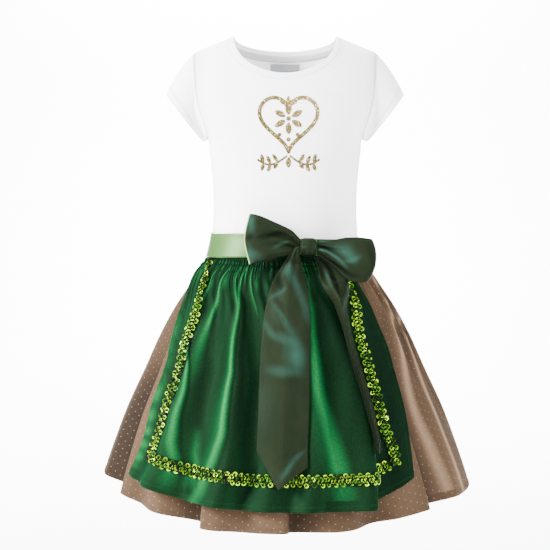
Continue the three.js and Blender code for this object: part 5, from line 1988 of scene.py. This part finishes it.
def motif_distance(x, y):
    """How far a place is from the inside of the print's shapes, in millimetres: below 0 inside."""
    places = pair(x, y)
    best = np.full(x.shape, 1e9)

    def stroke(points, width):
        nonlocal best
        for a, b in zip(points[:-1], points[1:]):
            best = np.minimum(best, from_segment(places, a, b)[1] - width / 2)

    def leaf(cx, cy, long, wide, turn):
        nonlocal best
        c, s = math.cos(turn), math.sin(turn)
        px, py = (x - cx) * c + (y - cy) * s, -(x - cx) * s + (y - cy) * c
        radius = (long**2 + wide**2) / (2 * wide)
        half = np.maximum(np.hypot(px, py + radius - wide), np.hypot(px, py - radius + wide)) - radius
        best = np.minimum(best, half)

    def stem(side, s):
        return side * (3 + 41 * s), -37 - 15 * math.sin(2.2 * s) + 7 * s * s

    def dot(cx, cy, radius):
        stroke([(cx, cy), (cx + 0.01, cy)], 2 * radius)

    t = even(90, 0, 2 * np.pi)
    heart_x = 2.62 * 16 * np.sin(t) ** 3
    heart_y = 2.7 * (13 * np.cos(t) - 5 * np.cos(2 * t) - 2 * np.cos(3 * t) - np.cos(4 * t)) + 15
    stroke(list(zip(heart_x, heart_y)), 5.6)
    for i in range(6):
        turn = math.pi / 2 + i * math.pi / 3
        leaf(14 * math.cos(turn), 17 + 14 * math.sin(turn), 9, 4.4, turn)
    dot(0, 17, 3.4)
    dot(-13, -6, 2.8)
    dot(13, -6, 2.8)
    dot(0, -13, 3.2)
    leaf(0, -46, 8, 4, math.pi / 2)
    for side in (-1, 1):
        stroke([stem(side, s) for s in even(18)], 3.2)
        for s, lean in ((0.3, 1.0), (0.55, 1.15), (0.8, 1.3)):
            cx, cy = stem(side, s)
            for up, reach in ((1, 7.5), (-1, 6)):
                turn = math.pi / 2 - side * (math.pi / 2 - up * lean)
                leaf(cx + reach * math.cos(turn), cy + reach * math.sin(turn), reach - 0.5, 2.9, turn)
        leaf(side * 9, 41, 6, 2.8, math.pi / 2 - side * 0.8)
    leaf(0, 43, 7, 3.2, math.pi / 2)
    return best


PRINT_X, PRINT_DROP = 4.5, 138


def make_print():
    step = 0.75
    xs, ys = np.arange(-55, 55.1, step), np.arange(-60, 60.1, step)
    x, y = np.meshgrid(xs, ys)
    distance = motif_distance(x, y)
    small = 0.05
    gx = (motif_distance(x + small, y) - motif_distance(x - small, y)) / (2 * small)
    gy = (motif_distance(x, y + small) - motif_distance(x, y - small)) / (2 * small)
    middle = (distance[:-1, :-1] + distance[1:, 1:] + distance[:-1, 1:] + distance[1:, :-1]) / 4
    keep = middle < 0.1
    near = np.abs(distance) < step
    x = np.where(near, x - distance * gx * (distance > -0.35), x)
    y = np.where(near, y - distance * gy * (distance > -0.35), y)
    chest = x + PRINT_X, PRINT_DROP - y, FRONT
    at, normal = form_point(*chest), form_normal(*chest)
    normal = np.where(normal[..., 1:2] > 0, -normal, normal)
    points = at + normal * (creased(at, FRONT) + 0.3)[..., None]
    r, c = np.nonzero(keep)
    wide = x.shape[1]
    a = r * wide + c
    quads = np.stack([a, a + 1, a + 1 + wide, a + wide], -1)
    used, flat = np.unique(quads, return_inverse=True)
    return mesh_of("chest_print", points.reshape(-1, 3)[used], flat.reshape(-1, 4), None, None, GLITTER)


chest_print = make_print()

for form in (STITCH, COARSE_STITCH, SEQUIN):
    bpy.data.objects.remove(form)

# ---------------------------------------------------------------- what each piece is

ALL = {
    bodice_front: ("bodice_front", "jersey"),
    bodice_back: ("bodice_back", "jersey"),
    sleeve_left: ("sleeve_left", "jersey"),
    sleeve_right: ("sleeve_right", "jersey"),
    neck_rib: ("neck_binding", "jersey"),
    neck_patch: ("neck_label", "label"),
    neck_tape: (None, "jersey"),
    skirt_back_cloth: ("skirt_back", "dotted_cotton"),
    skirt_front_cloth: ("skirt_front", "dotted_cotton"),
    apron_velvet: ("apron", "velvet"),
    trims["right"]: ("apron_trim_right", "sequins"),
    trims["hem"]: ("apron_trim_hem", "sequins"),
    trims["left"]: ("apron_trim_left", "sequins"),
    sash_band: ("sash", "sash_satin"),
    knot_wrap: ("bow_knot", "bow_satin"),
    loop_right: ("bow_loop_right", "bow_satin"),
    loop_left: ("bow_loop_left", "bow_satin"),
    tail_right: ("bow_tail_right", "bow_satin"),
    tail_left: ("bow_tail_left", "bow_satin"),
    apron_stitches: (None, "velvet"),
    shirring_stitches: (None, "velvet"),
    skirt_stitches: (None, "dotted_cotton"),
    cuff_stitches: (None, "jersey"),
    neck_stitches: (None, "jersey"),
    patch_stitches: (None, "jersey"),
    chest_print: (None, "jersey"),
}
for side in trims:
    ALL[sequins[side]] = (None, "sequins")
    ALL[trim_threads[side]] = (None, "sequins")
for piece, (solid, finish) in ALL.items():
    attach(piece, "root")
    if solid:
        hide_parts(solid)

# ---------------------------------------------------------------- studio


def make_floor():
    """A pale floor that runs up into a wall behind."""
    width, depth, low, high, radius = 3.4, 3.6, -0.95, 1.6, 1.0
    profile = [(-4.0, low), (depth - radius, low)]
    for turn in even(14, 0.1, math.pi / 2):
        profile.append((depth - radius + radius * math.sin(turn), low + radius * (1 - math.cos(turn))))
    profile += [(depth, high)]
    points = [(x / MM, y / MM, z / MM) for y, z in profile for x in (-width / 2, width / 2)]
    faces = [(2 * i, 2 * i + 1, 2 * i + 3, 2 * i + 2) for i in range(len(profile) - 1)]
    made, tree, shader = material("pale_paper")
    place = object_place(tree)
    grain = placed_group(tree, MOTTLE, Place=place, Scale=3.0)
    paper = blend(tree, grain["Slow"], colour("fdfdfd"), colour("fbfbfb"))
    tree.links.new(paper, shader.inputs["Base Color"])
    settings(shader, Roughness=0.9)
    return mesh_of("paper_floor", points, faces, None, None, made)


floor = make_floor()


def aimed(name, data, at, aim):
    made = bpy.data.objects.new(name, data)
    made.location = at
    made.rotation_euler = (Vector(aim) - Vector(at)).to_track_quat("-Z", "Y").to_euler()
    bpy.context.scene.collection.objects.link(made)
    return made


def area_light(name, at, aim, size, power):
    light = bpy.data.lights.new(name, "AREA")
    light.size, light.energy = size, power
    aimed(name, light, at, aim)


area_light("key_left", (-2.6, -1.2, 0.9), (0, 0, -0.35), 1.0, 700)
area_light("front", (0.7, -2.8, 1.0), (0, 0, -0.3), 1.6, 130)
area_light("right", (2.4, -0.9, 0.4), (0.1, 0, -0.4), 0.8, 110)
area_light("top", (0, 0.3, 2.4), (0, 0, -0.3), 1.6, 110)
area_light("wall_wash", (0, 2.1, 2.1), (0, 3.6, -0.4), 1.8, 1100)

world = bpy.data.worlds.new("studio")
world.use_nodes = True
sky = world.node_tree.nodes["Background"].inputs
sky["Color"].default_value, sky["Strength"].default_value = (1, 1, 1, 1), 0.7
bpy.context.scene.world = world

camera_at, camera_aim, camera_lens = (-0.015, -2.4, -0.1176), (-0.015, 0, -0.3546), 105.24
camera = aimed("camera", bpy.data.cameras.new("camera"), camera_at, camera_aim)
camera.data.lens = camera_lens
bpy.context.scene.camera = camera

bpy.context.view_layer.update()
